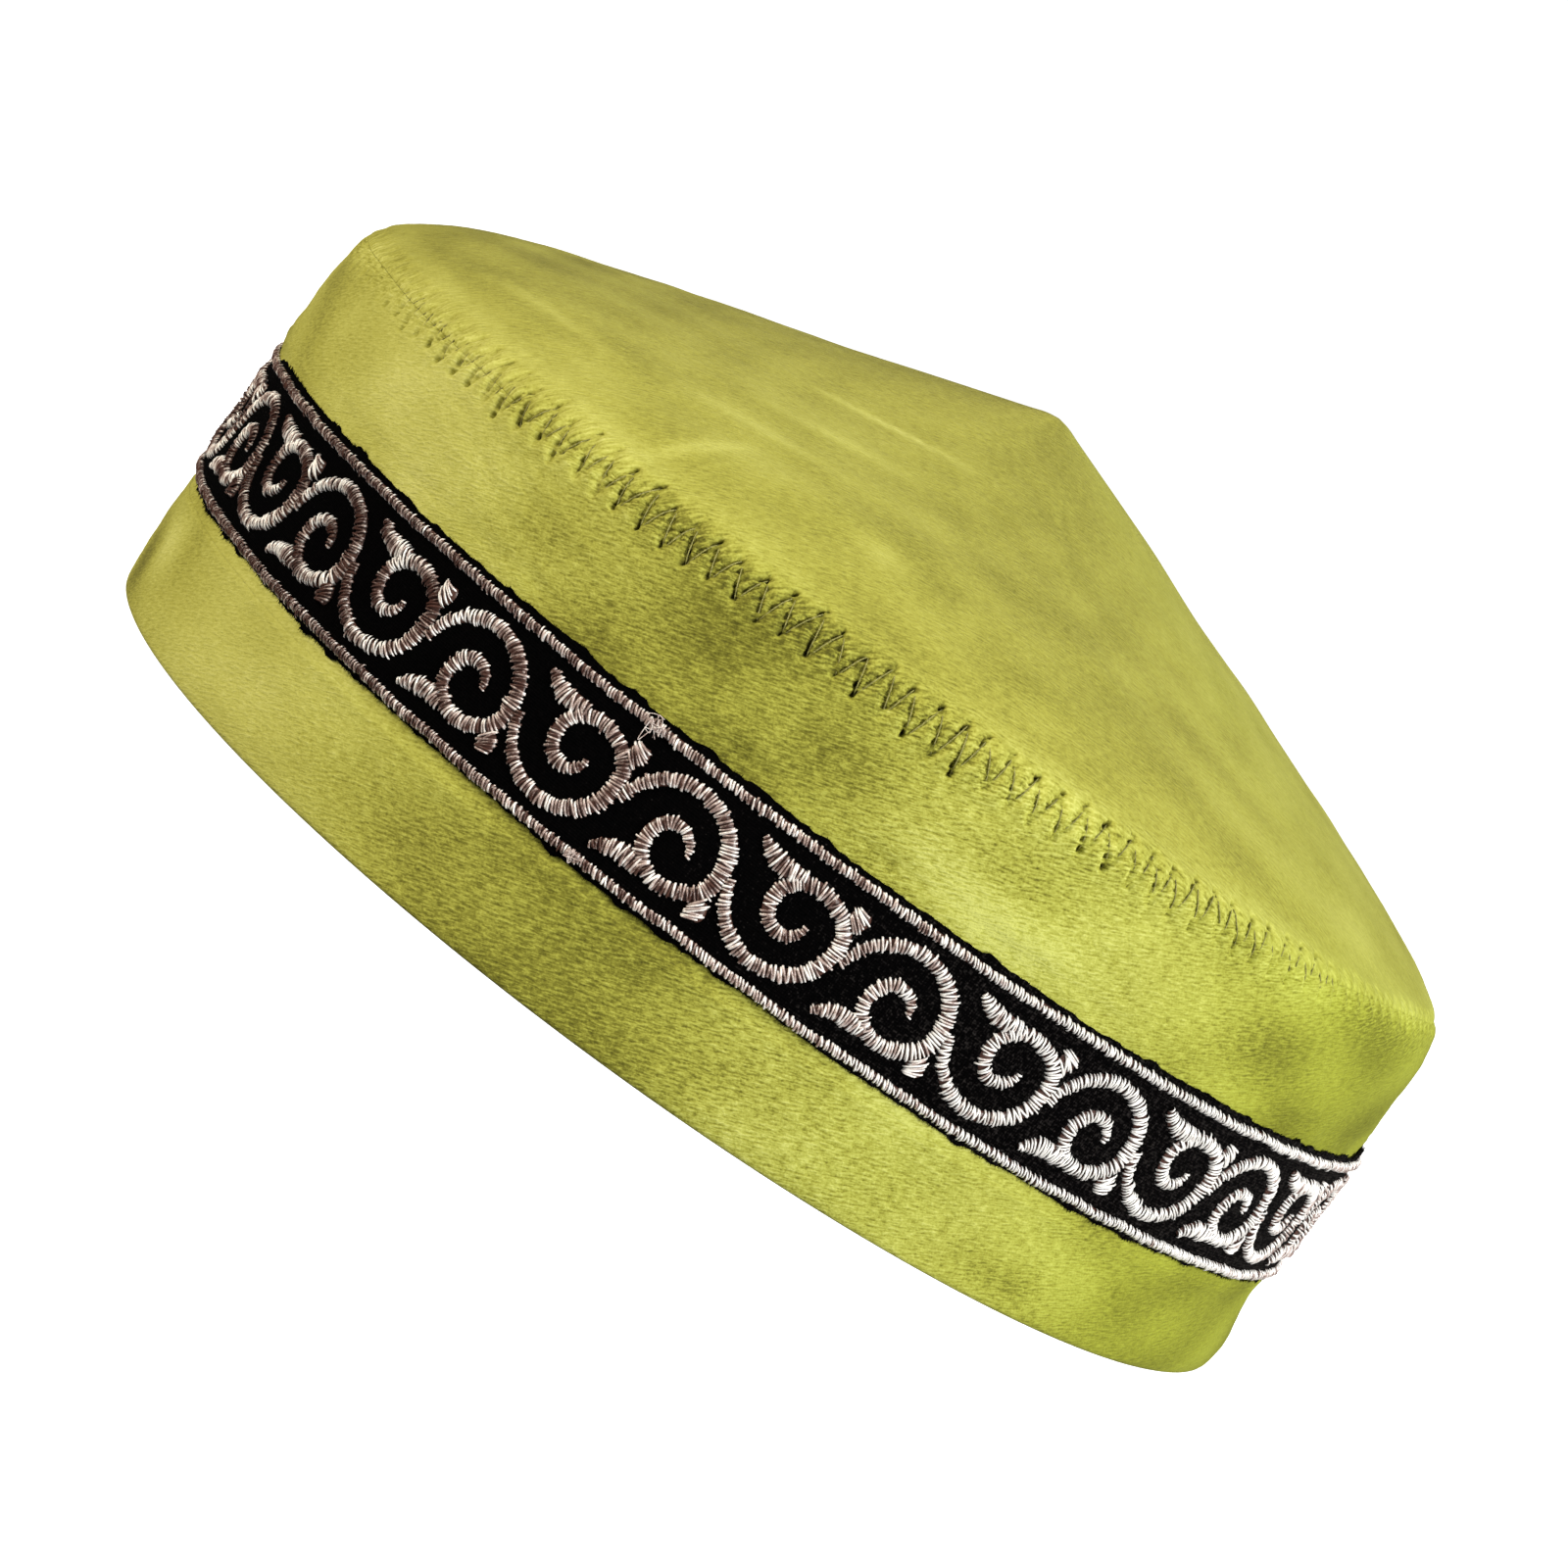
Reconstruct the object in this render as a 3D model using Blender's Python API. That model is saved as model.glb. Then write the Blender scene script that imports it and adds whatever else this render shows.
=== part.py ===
"""A skullcap: an upright cloth side wall with a folded rim, a low conical crown sewn on at
the shoulder, and a black ribbon that carries a satin-stitched vine scroll between two cords.

Metres, +Z up. The origin is under the middle of the cap, on the surface that its rim rests on.
The front is at -Y, and angles round the cap run from the front towards +X.
"""

import math

import bmesh
import bpy
import numpy as np

MM = 0.001

# Driving dimensions of the cloth
HEAD_GIRTH = 571 * MM
CLOTH = 1.8 * MM
SIDE_HEIGHT = 56 * MM
CROWN_RISE = 36.6 * MM
RIM_FOLD_HEIGHT = 9 * MM
RIM_FOLD_DEPTH = 1.2 * MM
SEWING_LEAN = math.radians(0.8)
TIP_SHIFT = -0.7 * MM

# Driving dimensions of the ribbon and its embroidery
RIBBON_FOOT = 16.9 * MM
RIBBON_WIDTH = 20.7 * MM
RIBBON_THICK = 0.5 * MM
CORD_WIDTH = 1.3 * MM
CORD_RELIEF = 0.6 * MM
LOWER_CORD_INSET = 1.05 * MM
UPPER_CORD_INSET = 1.4 * MM
SCROLL_REPEATS = 18
SCROLL_START = math.radians(-5.0)
STITCH_WIDTH = 2 * MM
STITCH_RELIEF = 0.6 * MM

# How the pieces meet
PIECE_GAP = 0.3 * MM
BOOLEAN_STEP = 0.03 * MM

# How finely curves are cut
ROUND_STEPS = 60
VINE_STEPS = 17

INNER_RADIUS = HEAD_GIRTH / (2 * math.pi)
OUTER_RADIUS = INNER_RADIUS + CLOTH
RIBBON_BACK = OUTER_RADIUS + PIECE_GAP
RIBBON_FACE = RIBBON_BACK + RIBBON_THICK
THREAD_BACK = RIBBON_FACE + PIECE_GAP
HALF_REPEAT = math.pi * RIBBON_FACE / SCROLL_REPEATS
RIBBON_HEAD = RIBBON_FOOT + RIBBON_WIDTH
SCROLL_MIDDLE = RIBBON_FOOT + (RIBBON_WIDTH + LOWER_CORD_INSET - UPPER_CORD_INSET) / 2
SCROLL_UNIT = 0.79 * RIBBON_WIDTH

# Outside of the side wall, under and over the ribbon's seat. Columns: height as a share of the
# way from the rim to the ribbon, or from the ribbon to the seam, and how far the cloth stands
# out from the outer radius, as a share of its thickness.
UNDER_RIBBON = (
    (0.00, -0.75),
    (0.06, -0.28),
    (0.20, 0.05),
    (0.86, 0.10),
    (0.98, 0.00),
)
OVER_RIBBON = (
    (0.02, 0.00),
    (0.12, 0.38),
    (0.58, 0.28),
    (0.82, 0.10),
    (1.00, -0.30),
)
SEAM_RADIUS = OUTER_RADIUS + OVER_RIBBON[-1][1] * CLOTH

# Inside of the rim, where the cloth is doubled. Columns: height as a share of the fold's height,
# and how far it stands in from the inner radius, as a share of the fold's depth.
RIM_INSIDE = (
    (1.0, 0.0),
    (0.8, 1.0),
    (0.1, 1.0),
    (0.0, 0.6),
)

# Outside of the crown, seam to tip. Columns: radius as a share of the seam's radius, and
# height above the seam as a share of the crown's rise.
CROWN_OUTSIDE = (
    (1.000, 0.000),
    (0.990, 0.044),
    (0.976, 0.086),
    (0.937, 0.151),
    (0.890, 0.220),
    (0.815, 0.308),
    (0.697, 0.419),
    (0.520, 0.567),
    (0.340, 0.718),
    (0.180, 0.856),
    (0.054, 0.962),
    (0.024, 0.989),
    (0.000, 1.000),
)

# Soft swells and hollows of the crown. Columns: direction round the cap and half width in
# degrees, middle and half reach as shares of the crown's rise, and height as a share of the cloth.
CROWN_SWELLS = (
    (-90, 88, 0.24, 0.26, 0.42),
    (90, 88, 0.24, 0.26, -0.42),
    (-28, 24, 0.62, 0.20, -0.25),
    (-8, 16, 0.38, 0.16, 0.22),
    (34, 26, 0.46, 0.22, -0.22),
    (150, 40, 0.45, 0.25, 0.25),
    (-140, 36, 0.50, 0.25, -0.25),
)

# The vine about its own spiral's pole. Columns: direction in degrees, distance as a share of
# half a repeat, and width as a share of the stitch width. It runs over the crest, down the far
# side, back underneath and into the hook.
VINE_POLE = (0.024, -0.055)
VINE_TURNS = (
    (170, 0.470, 0.42),
    (142, 0.478, 0.85),
    (110, 0.452, 0.95),
    (74, 0.435, 0.93),
    (39, 0.433, 1.05),
    (8, 0.422, 1.10),
    (-20, 0.409, 1.10),
    (-49, 0.335, 1.00),
    (-90, 0.274, 1.00),
    (-131, 0.227, 0.95),
    (-186, 0.175, 0.95),
    (-248, 0.157, 0.90),
    (-311, 0.143, 0.70),
    (-362, 0.140, 0.35),
)

# Leaf and bud of the vine. Columns: along and across as shares of half a repeat, and width as
# a share of the stitch width.
LEAF_ROWS = (
    (-0.463, -0.424, 0.30),
    (-0.405, -0.378, 0.62),
    (-0.325, -0.340, 0.88),
    (-0.235, -0.322, 1.05),
    (-0.140, -0.323, 1.10),
    (-0.040, -0.340, 0.80),
)
BUD_ROWS = (
    (0.418, -0.262, 0.70),
    (0.437, -0.311, 0.95),
    (0.443, -0.360, 0.95),
    (0.436, -0.415, 0.45),
)

VELOUR_GREEN = (0.42, 0.44, 0.08, 1.0)
RIBBON_BLACK = (0.012, 0.012, 0.015, 1.0)
THREAD_SILVER = (0.62, 0.52, 0.49, 1.0)


def clear_scene():
    """Takes every object out of the open scene."""
    for item in list(bpy.data.objects):
        bpy.data.objects.remove(item, do_unlink=True)


def make_material(name, colour, roughness, metallic=0.0, sheen=0.0):
    """One Principled material with the piece's plain colour and finish."""
    material = bpy.data.materials.new(name)
    material.use_nodes = True
    shader = material.node_tree.nodes["Principled BSDF"]
    shader.inputs["Base Color"].default_value = colour
    shader.inputs["Roughness"].default_value = roughness
    shader.inputs["Metallic"].default_value = metallic
    shader.inputs["Sheen Weight"].default_value = sheen
    material.diffuse_color = colour
    return material


def add_piece(name, mesh, material):
    """Links one mesh to the scene as a named piece with smooth round faces."""
    mesh.materials.append(material)
    mesh.shade_smooth()
    mesh.set_sharp_from_angle(angle=math.radians(50))
    piece = bpy.data.objects.new(name, mesh)
    bpy.context.collection.objects.link(piece)
    return piece


def smooth_rows(rows, steps):
    """Evenly spaced rows on the Catmull-Rom curve through a table's rows."""
    table = np.array(rows, float)
    padded = np.vstack([2 * table[0] - table[1], table, 2 * table[-1] - table[-2]])
    place = np.linspace(0, len(table) - 1, steps)
    first = np.minimum(place.astype(int), len(table) - 2)
    t = (place - first)[:, None]
    a, b, c, d = (padded[first + k] for k in range(4))
    return 0.5 * (
        2 * b + (c - a) * t + (2 * a - 5 * b + 4 * c - d) * t**2 + (3 * b - a - 3 * c + d) * t**3
    )


def bell(distance, reach):
    """One at the middle, falling smoothly to nought at the reach."""
    share = min(abs(distance) / reach, 1.0)
    return math.cos(share * math.pi / 2) ** 2


def crown_swell(angle, height):
    """How far the crown stands out at this place from its even shape."""
    share = (height - SIDE_HEIGHT) / CROWN_RISE
    total = 0.0
    for direction, half_width, middle, reach, lift in CROWN_SWELLS:
        turn = (math.degrees(angle) - direction + 180) % 360 - 180
        total += lift * CLOTH * bell(turn, half_width) * bell(share - middle, reach)
    return total


def on_cap(angle, radius, height):
    """The point at this angle, radius and height, with the lean that the sewing gave the cap."""
    out = radius
    up = height
    shift = 0.0
    if height > SIDE_HEIGHT:
        swell = crown_swell(angle, height)
        slope = math.atan2(CROWN_RISE, SEAM_RADIUS)
        out += swell * math.sin(slope)
        up += swell * math.cos(slope)
        shift = TIP_SHIFT * ((height - SIDE_HEIGHT) / CROWN_RISE) ** 2
    x = out * math.sin(angle) + shift
    y = -out * math.cos(angle)
    lean = math.tan(SEWING_LEAN) * min(height / RIBBON_FOOT, 1.0)
    return x, y, up - lean * out * math.sin(angle)


def turned_mesh(name, section):
    """A closed section of (radius, height) corners carried round the cap. Radius nought is a pole."""
    build = bmesh.new()
    angles = [2 * math.pi * step / ROUND_STEPS for step in range(ROUND_STEPS)]
    rings = []
    for radius, height in section:
        if radius == 0:
            rings.append([build.verts.new(on_cap(0.0, 0.0, height))])
        else:
            rings.append([build.verts.new(on_cap(angle, radius, height)) for angle in angles])
    for low, high in zip(rings, rings[1:] + rings[:1]):
        if len(low) == len(high) == 1:
            continue
        for step in range(ROUND_STEPS):
            following = (step + 1) % ROUND_STEPS
            if len(low) == 1:
                build.faces.new((low[0], high[following], high[step]))
            elif len(high) == 1:
                build.faces.new((low[step], low[following], high[0]))
            else:
                build.faces.new((low[step], low[following], high[following], high[step]))
    bmesh.ops.recalc_face_normals(build, faces=build.faces)
    mesh = bpy.data.meshes.new(name)
    build.to_mesh(mesh)
    build.free()
    return mesh


def inside_of(outside):
    """The same section, one cloth thickness further in along its own normals."""
    line = np.array(outside)
    along = np.gradient(line, axis=0)
    along /= np.linalg.norm(along, axis=1)[:, None]
    inward = np.stack([-along[:, 1], along[:, 0]], axis=1)
    return line + inward * CLOTH


def make_side_wall(material):
    """The upright wall, doubled inwards along the rim, with a flat band to rest on."""
    seam_edge = SIDE_HEIGHT - PIECE_GAP / 2
    over = SIDE_HEIGHT - RIBBON_HEAD
    heights = [share * RIBBON_FOOT for share, _ in UNDER_RIBBON]
    heights += [min(RIBBON_HEAD + share * over, seam_edge) for share, _ in OVER_RIBBON]
    radii = [OUTER_RADIUS + stand * CLOTH for _, stand in UNDER_RIBBON + OVER_RIBBON]
    inside = [(SEAM_RADIUS - CLOTH, seam_edge), (INNER_RADIUS, RIBBON_HEAD + over / 2)]
    inside += [
        (INNER_RADIUS - depth * RIM_FOLD_DEPTH, share * RIM_FOLD_HEIGHT)
        for share, depth in RIM_INSIDE
    ]
    section = list(zip(radii, heights)) + inside
    add_piece("side_wall", turned_mesh("side_wall", section), material)


def make_crown(material):
    """The cone with its rounded shoulder and tip, in cloth of even thickness."""
    seam_edge = SIDE_HEIGHT + PIECE_GAP / 2
    outside = [
        (share * SEAM_RADIUS, max(SIDE_HEIGHT + lift * CROWN_RISE, seam_edge))
        for share, lift in CROWN_OUTSIDE
    ]
    slope = math.atan2(CROWN_RISE, SEAM_RADIUS)
    inner_tip = (0.0, SIDE_HEIGHT + CROWN_RISE - CLOTH / math.cos(slope))
    inside = [tuple(row) for row in inside_of(outside)[2:-2:2]]
    section = outside + [inner_tip] + inside[::-1] + [(SEAM_RADIUS - CLOTH, seam_edge)]
    add_piece("crown", turned_mesh("crown", section), material)


def make_band(name, back, face, low, high, bevel, material):
    """A thin band round the cap, between two heights, with its face a little narrower."""
    section = [(back, low), (face, low + bevel), (face, high - bevel), (back, high)]
    add_piece(name, turned_mesh(name, section), material)


def ridge(name, rows, base):
    """A low ridge with a pointed back along flat rows of along, across and width, in metres."""
    middle = rows[:, :2]
    along = np.gradient(middle, axis=0)
    along /= np.linalg.norm(along, axis=1)[:, None]
    side = np.stack([-along[:, 1], along[:, 0]], axis=1) * rows[:, 2:] / 2
    lift = STITCH_RELIEF * np.minimum(rows[:, 2] / STITCH_WIDTH + 0.3, 1.0)
    build = bmesh.new()
    sections = []
    for centre, reach, height in zip(middle, side, lift):
        corners = ((centre + reach, base), (centre, base + height), (centre - reach, base))
        sections.append([build.verts.new((*flat, up)) for flat, up in corners])
    for low, high in zip(sections, sections[1:]):
        for step in range(3):
            following = (step + 1) % 3
            build.faces.new((low[step], low[following], high[following], high[step]))
    build.faces.new(sections[0])
    build.faces.new(sections[-1])
    bmesh.ops.recalc_face_normals(build, faces=build.faces)
    mesh = bpy.data.meshes.new(name)
    build.to_mesh(mesh)
    build.free()
    helper = bpy.data.objects.new(name, mesh)
    helper.hide_render = True
    helper.display_type = "WIRE"
    bpy.context.collection.objects.link(helper)
    return helper


def flat_rows(rows):
    """Shares of half a repeat along and across, and of the stitch width, made metres."""
    return np.array(rows) * np.array([HALF_REPEAT, SCROLL_UNIT, STITCH_WIDTH])


def vine_rows():
    """The vine's centre line: its polar table made along, across and width."""
    turn, reach, width = smooth_rows(VINE_TURNS, VINE_STEPS).T
    along = VINE_POLE[0] + reach * np.cos(np.radians(turn))
    across = VINE_POLE[1] + reach * np.sin(np.radians(turn))
    return np.stack([along, across, width], axis=1)


def flat_motif():
    """Corners and faces of one vine with its leaf and bud, united while it is still flat."""
    vine = ridge("vine_form", flat_rows(vine_rows()), 0.0)
    leaf = ridge("leaf_form", flat_rows(LEAF_ROWS), BOOLEAN_STEP)
    bud = ridge("bud_form", flat_rows(BUD_ROWS), 2 * BOOLEAN_STEP)
    for other in (leaf, bud):
        union = vine.modifiers.new(other.name, "BOOLEAN")
        union.operation = "UNION"
        union.solver = "EXACT"
        union.object = other
    bpy.context.view_layer.update()
    whole = vine.evaluated_get(bpy.context.evaluated_depsgraph_get()).to_mesh()
    corners = [tuple(vertex.co) for vertex in whole.vertices]
    faces = [tuple(face.vertices) for face in whole.polygons]
    for helper in (vine, leaf, bud):
        bpy.data.objects.remove(helper, do_unlink=True)
    return corners, faces


def make_vines(material):
    """Two motifs for each repeat: one as charted, and one turned over about the middle line."""
    corners, faces = flat_motif()
    for number in range(2 * SCROLL_REPEATS):
        middle = SCROLL_START + number * math.pi / SCROLL_REPEATS
        flip = -1 if number % 2 else 1
        placed = [
            on_cap(middle + along / RIBBON_FACE, THREAD_BACK + lift, SCROLL_MIDDLE + flip * across)
            for along, across, lift in corners
        ]
        name = f"vine_{number + 1:02d}"
        mesh = bpy.data.meshes.new(name)
        mesh.from_pydata(placed, [], [face[::flip] for face in faces])
        add_piece(name, mesh, material)


def main():
    """Builds the cap, piece by piece, from the rim up."""
    clear_scene()
    velour = make_material("velour", VELOUR_GREEN, 0.9, sheen=0.5)
    black = make_material("ribbon_black", RIBBON_BLACK, 0.75)
    thread = make_material("thread_silver", THREAD_SILVER, 0.4, metallic=0.3)
    make_side_wall(velour)
    make_crown(velour)
    bevel = RIBBON_THICK / 2
    make_band("ribbon", RIBBON_BACK, RIBBON_FACE, RIBBON_FOOT, RIBBON_HEAD, bevel, black)
    cords = {
        "border_lower": RIBBON_FOOT + LOWER_CORD_INSET,
        "border_upper": RIBBON_HEAD - UPPER_CORD_INSET,
    }
    for name, height in cords.items():
        low = height - CORD_WIDTH / 2
        high = height + CORD_WIDTH / 2
        make_band(name, THREAD_BACK, THREAD_BACK + CORD_RELIEF, low, high, CORD_WIDTH / 4, thread)
    make_vines(thread)


main()
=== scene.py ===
"""The looks of a velour skullcap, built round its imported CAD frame.

An upright side wall and a low cone of short-piled cloth meet in a zigzag seam. A black ribbon
runs round the wall and carries a satin-stitched scroll between two stitched cords.

Lengths are in metres. Angles run round the cap from the front, -Y, towards +X, and a run is a
length along the cloth's outside, from the middle of the rim's underside up to the tip.
"""

import logging
import math
from dataclasses import dataclass
from enum import Enum

import bpy
import numpy as np
from mathutils import Matrix, Vector


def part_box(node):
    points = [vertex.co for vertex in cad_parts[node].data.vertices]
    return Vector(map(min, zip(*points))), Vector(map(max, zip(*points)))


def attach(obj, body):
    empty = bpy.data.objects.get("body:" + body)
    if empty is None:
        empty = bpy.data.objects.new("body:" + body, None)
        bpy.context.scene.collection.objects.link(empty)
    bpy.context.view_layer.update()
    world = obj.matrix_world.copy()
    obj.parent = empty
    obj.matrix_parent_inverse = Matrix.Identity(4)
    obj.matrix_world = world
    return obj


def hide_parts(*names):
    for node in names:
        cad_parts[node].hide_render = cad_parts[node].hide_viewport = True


Array = np.ndarray
Material = bpy.types.Material
Socket = bpy.types.NodeSocket
Table = tuple[tuple[float, ...], ...]

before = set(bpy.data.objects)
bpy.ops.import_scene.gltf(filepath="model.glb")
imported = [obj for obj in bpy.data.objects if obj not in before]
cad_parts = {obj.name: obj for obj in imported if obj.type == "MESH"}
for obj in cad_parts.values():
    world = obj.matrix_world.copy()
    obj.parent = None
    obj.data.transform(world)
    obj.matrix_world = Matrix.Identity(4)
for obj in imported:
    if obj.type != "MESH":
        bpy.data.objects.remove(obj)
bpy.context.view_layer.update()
LOG = logging.getLogger("skullcap")

MM = 0.001
TURN = 2 * math.pi

# Blender counts 20 units of a wave texture's scale to one turn, and has its Mix node's colours
# at these sockets.
WAVE_UNITS = 20
MIX_FIRST, MIX_SECOND, MIX_RESULT = 6, 7, 2

ROUND_CORNERS = 5


class Slot(Enum):
    """The record's material slots."""

    VELOUR = "velour"
    BLACK = "ribbon_black"
    THREAD = "thread_silver"


class Attribute(Enum):
    """The values that pieces keep on their points for their materials."""

    NAP_AND_LIGHT = "nap"
    GRIT = "grit"
    CAST = "cast"
    TONE = "tone"
    CLOTH_UV = "cloth"


# Curves, rings and meshes


def along_curve(rows: Array, places: Array) -> Array:
    """Points of the Catmull-Rom curve through a table's rows.

    Each stretch is the cubic of its two rows and their neighbours. The table is lengthened by
    one mirrored row at each end.

    Args:
        rows: the table, one row for each point that the curve passes.
        places: row numbers, with fractions, to read the curve at.

    Returns:
        One row for each place.
    """
    table = np.asarray(rows, float)
    padded = np.vstack([2 * table[0] - table[1], table, 2 * table[-1] - table[-2]])
    first = np.clip(places.astype(int), 0, len(table) - 2)
    t = (places - first)[:, None]
    a, b, c, d = (padded[first + step] for step in range(4))
    linear = (c - a) * t
    squared = (2 * a - 5 * b + 4 * c - d) * t**2
    cubed = (3 * b - a - 3 * c + d) * t**3
    return 0.5 * (2 * b + linear + squared + cubed)


def smoothed(rows: Array, count: int) -> Array:
    """This many points of the curve through a table's rows, at even steps of its row numbers."""
    return along_curve(rows, np.linspace(0, len(rows) - 1, count))


def run_of(line: Array) -> Array:
    """The length from the line's start to each of its points, from its first two columns."""
    steps = np.linalg.norm(np.diff(line[:, :2], axis=0), axis=1)
    return np.concatenate([[0.0], np.cumsum(steps)])


def read_line(line: Array, run: Array, where: Array) -> Array:
    """The line's columns at the given runs, straight between its points."""
    return np.stack([np.interp(where, run, column) for column in line.T], axis=-1)


def evened(line: Array, spacing: float) -> Array:
    """The same line with its points evenly spaced, as near the given spacing as fits.

    Args:
        line: its points.
        spacing: the spacing to come near to.

    Returns:
        The new points.
    """
    run = run_of(line)
    count = max(int(round(run[-1] / spacing)), 2)
    return read_line(line, run, (np.arange(count) + 0.5) * run[-1] / count)


def bell(distance: Array, reach: float | Array) -> Array:
    """One in the middle, falling as a squared cosine to nought at the reach."""
    return np.cos(np.clip(np.abs(distance) / reach, 0.0, 1.0) * math.pi / 2) ** 2


def turn_from(angle: Array, middle: float) -> Array:
    """The signed turn from a middle angle, between minus and plus half a turn."""
    return (angle - middle + math.pi) % TURN - math.pi


def lobe(angle: Array, middle: float, half_width: float) -> Array:
    """A bell round the cap, with its middle and half width in degrees."""
    return bell(turn_from(angle, math.radians(middle)), math.radians(half_width))


def fall(distance: Array, reach: float | Array) -> Array:
    """One in the middle, falling as a Gaussian curve with the reach."""
    return np.exp(-((distance / reach) ** 2))


def unit(rows: Array) -> Array:
    """The rows, each scaled to a length of one."""
    return rows / np.linalg.norm(rows, axis=1)[:, None]


def read_round(table: Table, angle: Array) -> list[Array]:
    """The further columns of a table that goes by degrees round the cap, at the given angles."""
    degrees, *columns = np.array(table).T
    return [np.interp(np.degrees(turn_from(angle, 0.0)), degrees, column) for column in columns]


def humps(table: Table, angle: Array, up: Array) -> Array:
    """The sum of a table's humps, each a bell round the cap times a bell up it.

    Args:
        table: angle and half width in degrees, middle and half reach up the cap, and height.
        angle: angles round the cap.
        up: places up the cap, in the table's measure.

    Returns:
        The sum at each place.
    """
    total = np.zeros(np.broadcast(angle, up).shape)
    for direction, half_width, middle, reach, height in table:
        total = total + height * lobe(angle, direction, half_width) * bell(up - middle, reach)
    return total


def scatter(seed: int, count: int) -> Array:
    """Seeded normal values, the same each run."""
    return np.random.default_rng(seed).normal(size=count)


@dataclass(frozen=True)
class Ripples:
    """A seeded sum of sine waves over the cap: whole waves round it, any number up it.

    Attributes:
        seed: the draw of the waves.
        around: least and most waves in one turn.
        up: longest and shortest wave up the cloth, without effect on a level line.
        count: how many waves are summed.
    """

    seed: int
    around: tuple[int, int]
    up: tuple[float, float] = (1.0, 0.9)
    count: int = 14

    def at(self, angle: Array, run: Array) -> Array:
        """The sum at each angle and run, with a spread of about one.

        Args:
            angle: angles round the cap.
            run: runs up the cloth.

        Returns:
            The sums.
        """
        draw = np.random.default_rng(self.seed)
        total = np.zeros(np.broadcast(angle, run).shape)
        for _ in range(self.count):
            waves = draw.integers(self.around[0], self.around[1] + 1)
            rise = TURN / draw.uniform(self.up[1], self.up[0]) * draw.choice((-1, 1))
            total = total + np.sin(waves * angle + rise * run + draw.uniform(0, TURN))
        return total * math.sqrt(2 / self.count)

    def level(self, angle: Array) -> Array:
        """The sum along a level line."""
        return self.at(angle, 0 * angle)


def ring_angles(columns: int) -> Array:
    """Even angles round the cap, from the back so that the grid's join lies there."""
    return np.arange(columns) * TURN / columns - math.pi


def link_rings(counts: list[int], closed: bool) -> list[Array]:
    """Faces between neighbouring rings of points, facing away from the axis on the way up.

    Neighbours have the same count of points, or one has twice the other's, or one is a pole.

    Args:
        counts: how many points each ring has, in order.
        closed: whether the last ring joins the first.

    Returns:
        Arrays of quads and triangles.
    """
    starts = np.cumsum([0] + counts[:-1])
    pairs = list(zip(range(len(counts)), range(1, len(counts))))
    pairs += [(len(counts) - 1, 0)] if closed else []
    quads = []
    triangles = []
    for low, high in pairs:
        few = min(counts[low], counts[high])
        step = np.arange(few)
        following = (step + 1) % few
        under = starts[low]
        over = starts[high]
        if counts[low] == counts[high]:
            corners = (under + step, under + following, over + following, over + step)
            quads.append(np.stack(corners, axis=1))
        elif counts[high] == 1:
            step = np.arange(counts[low])
            following = (step + 1) % counts[low]
            pole = np.full(counts[low], over)
            triangles.append(np.stack([under + step, under + following, pole], axis=1))
        elif counts[low] == 1:
            step = np.arange(counts[high])
            following = (step + 1) % counts[high]
            pole = np.full(counts[high], under)
            triangles.append(np.stack([pole, over + following, over + step], axis=1))
        elif counts[low] == 2 * few:
            near, between, far = under + 2 * step, under + 2 * step + 1, under + 2 * following
            here, there = over + step, over + following
            triangles.append(np.stack([near, between, here], axis=1))
            triangles.append(np.stack([between, there, here], axis=1))
            triangles.append(np.stack([between, far, there], axis=1))
        else:
            near, between, far = over + 2 * step, over + 2 * step + 1, over + 2 * following
            here, there = under + step, under + following
            triangles.append(np.stack([here, between, near], axis=1))
            triangles.append(np.stack([here, there, between], axis=1))
            triangles.append(np.stack([there, far, between], axis=1))
    return [np.concatenate(faces) for faces in (quads, triangles) if faces]


def link_tubes(tubes: int, sections: int, corners: int, closed: bool = False) -> list[Array]:
    """Faces of many tubes whose points run section by section.

    Args:
        tubes: how many tubes there are.
        sections: sections in each tube.
        corners: points in each section.
        closed: whether each tube's last section joins its first, with no ends to close.

    Returns:
        Arrays of quads and triangles.
    """
    lengths = sections if closed else sections - 1
    section, corner = np.meshgrid(np.arange(lengths), np.arange(corners), indexing="ij")
    after = (section + 1) % sections
    beside = (corner + 1) % corners
    loops = [section * corners + corner, section * corners + beside]
    loops += [after * corners + beside, after * corners + corner]
    quads = np.stack(loops, axis=-1).reshape(-1, 4)
    firsts = np.arange(tubes)[:, None, None] * sections * corners
    found = [(quads[None] + firsts).reshape(-1, 4)]
    if not closed:
        fan = np.arange(1, corners - 1)
        start = np.stack([np.zeros_like(fan), fan + 1, fan], axis=1)
        end = (sections - 1) * corners + np.stack([np.zeros_like(fan), fan, fan + 1], axis=1)
        caps = np.concatenate([start, end])
        found.append((caps[None] + firsts).reshape(-1, 3))
    return found


def round_line(line: Array, forward: Array, outward: Array, radius: float) -> Array:
    """A round section, with few corners, carried along a line and kept square to it.

    Args:
        line: points of its middle.
        forward: the line's direction at each of them, of any length.
        outward: a direction beside the line, for each point or for all.
        radius: the section's radius.

    Returns:
        Points by place along the line and corner.
    """
    ahead = unit(forward)
    side = unit(np.cross(ahead, outward))
    over = np.cross(side, ahead)
    turn = (np.arange(ROUND_CORNERS) * TURN / ROUND_CORNERS)[:, None]
    return line[:, None] + radius * (np.cos(turn) * side[:, None] + np.sin(turn) * over[:, None])


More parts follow.
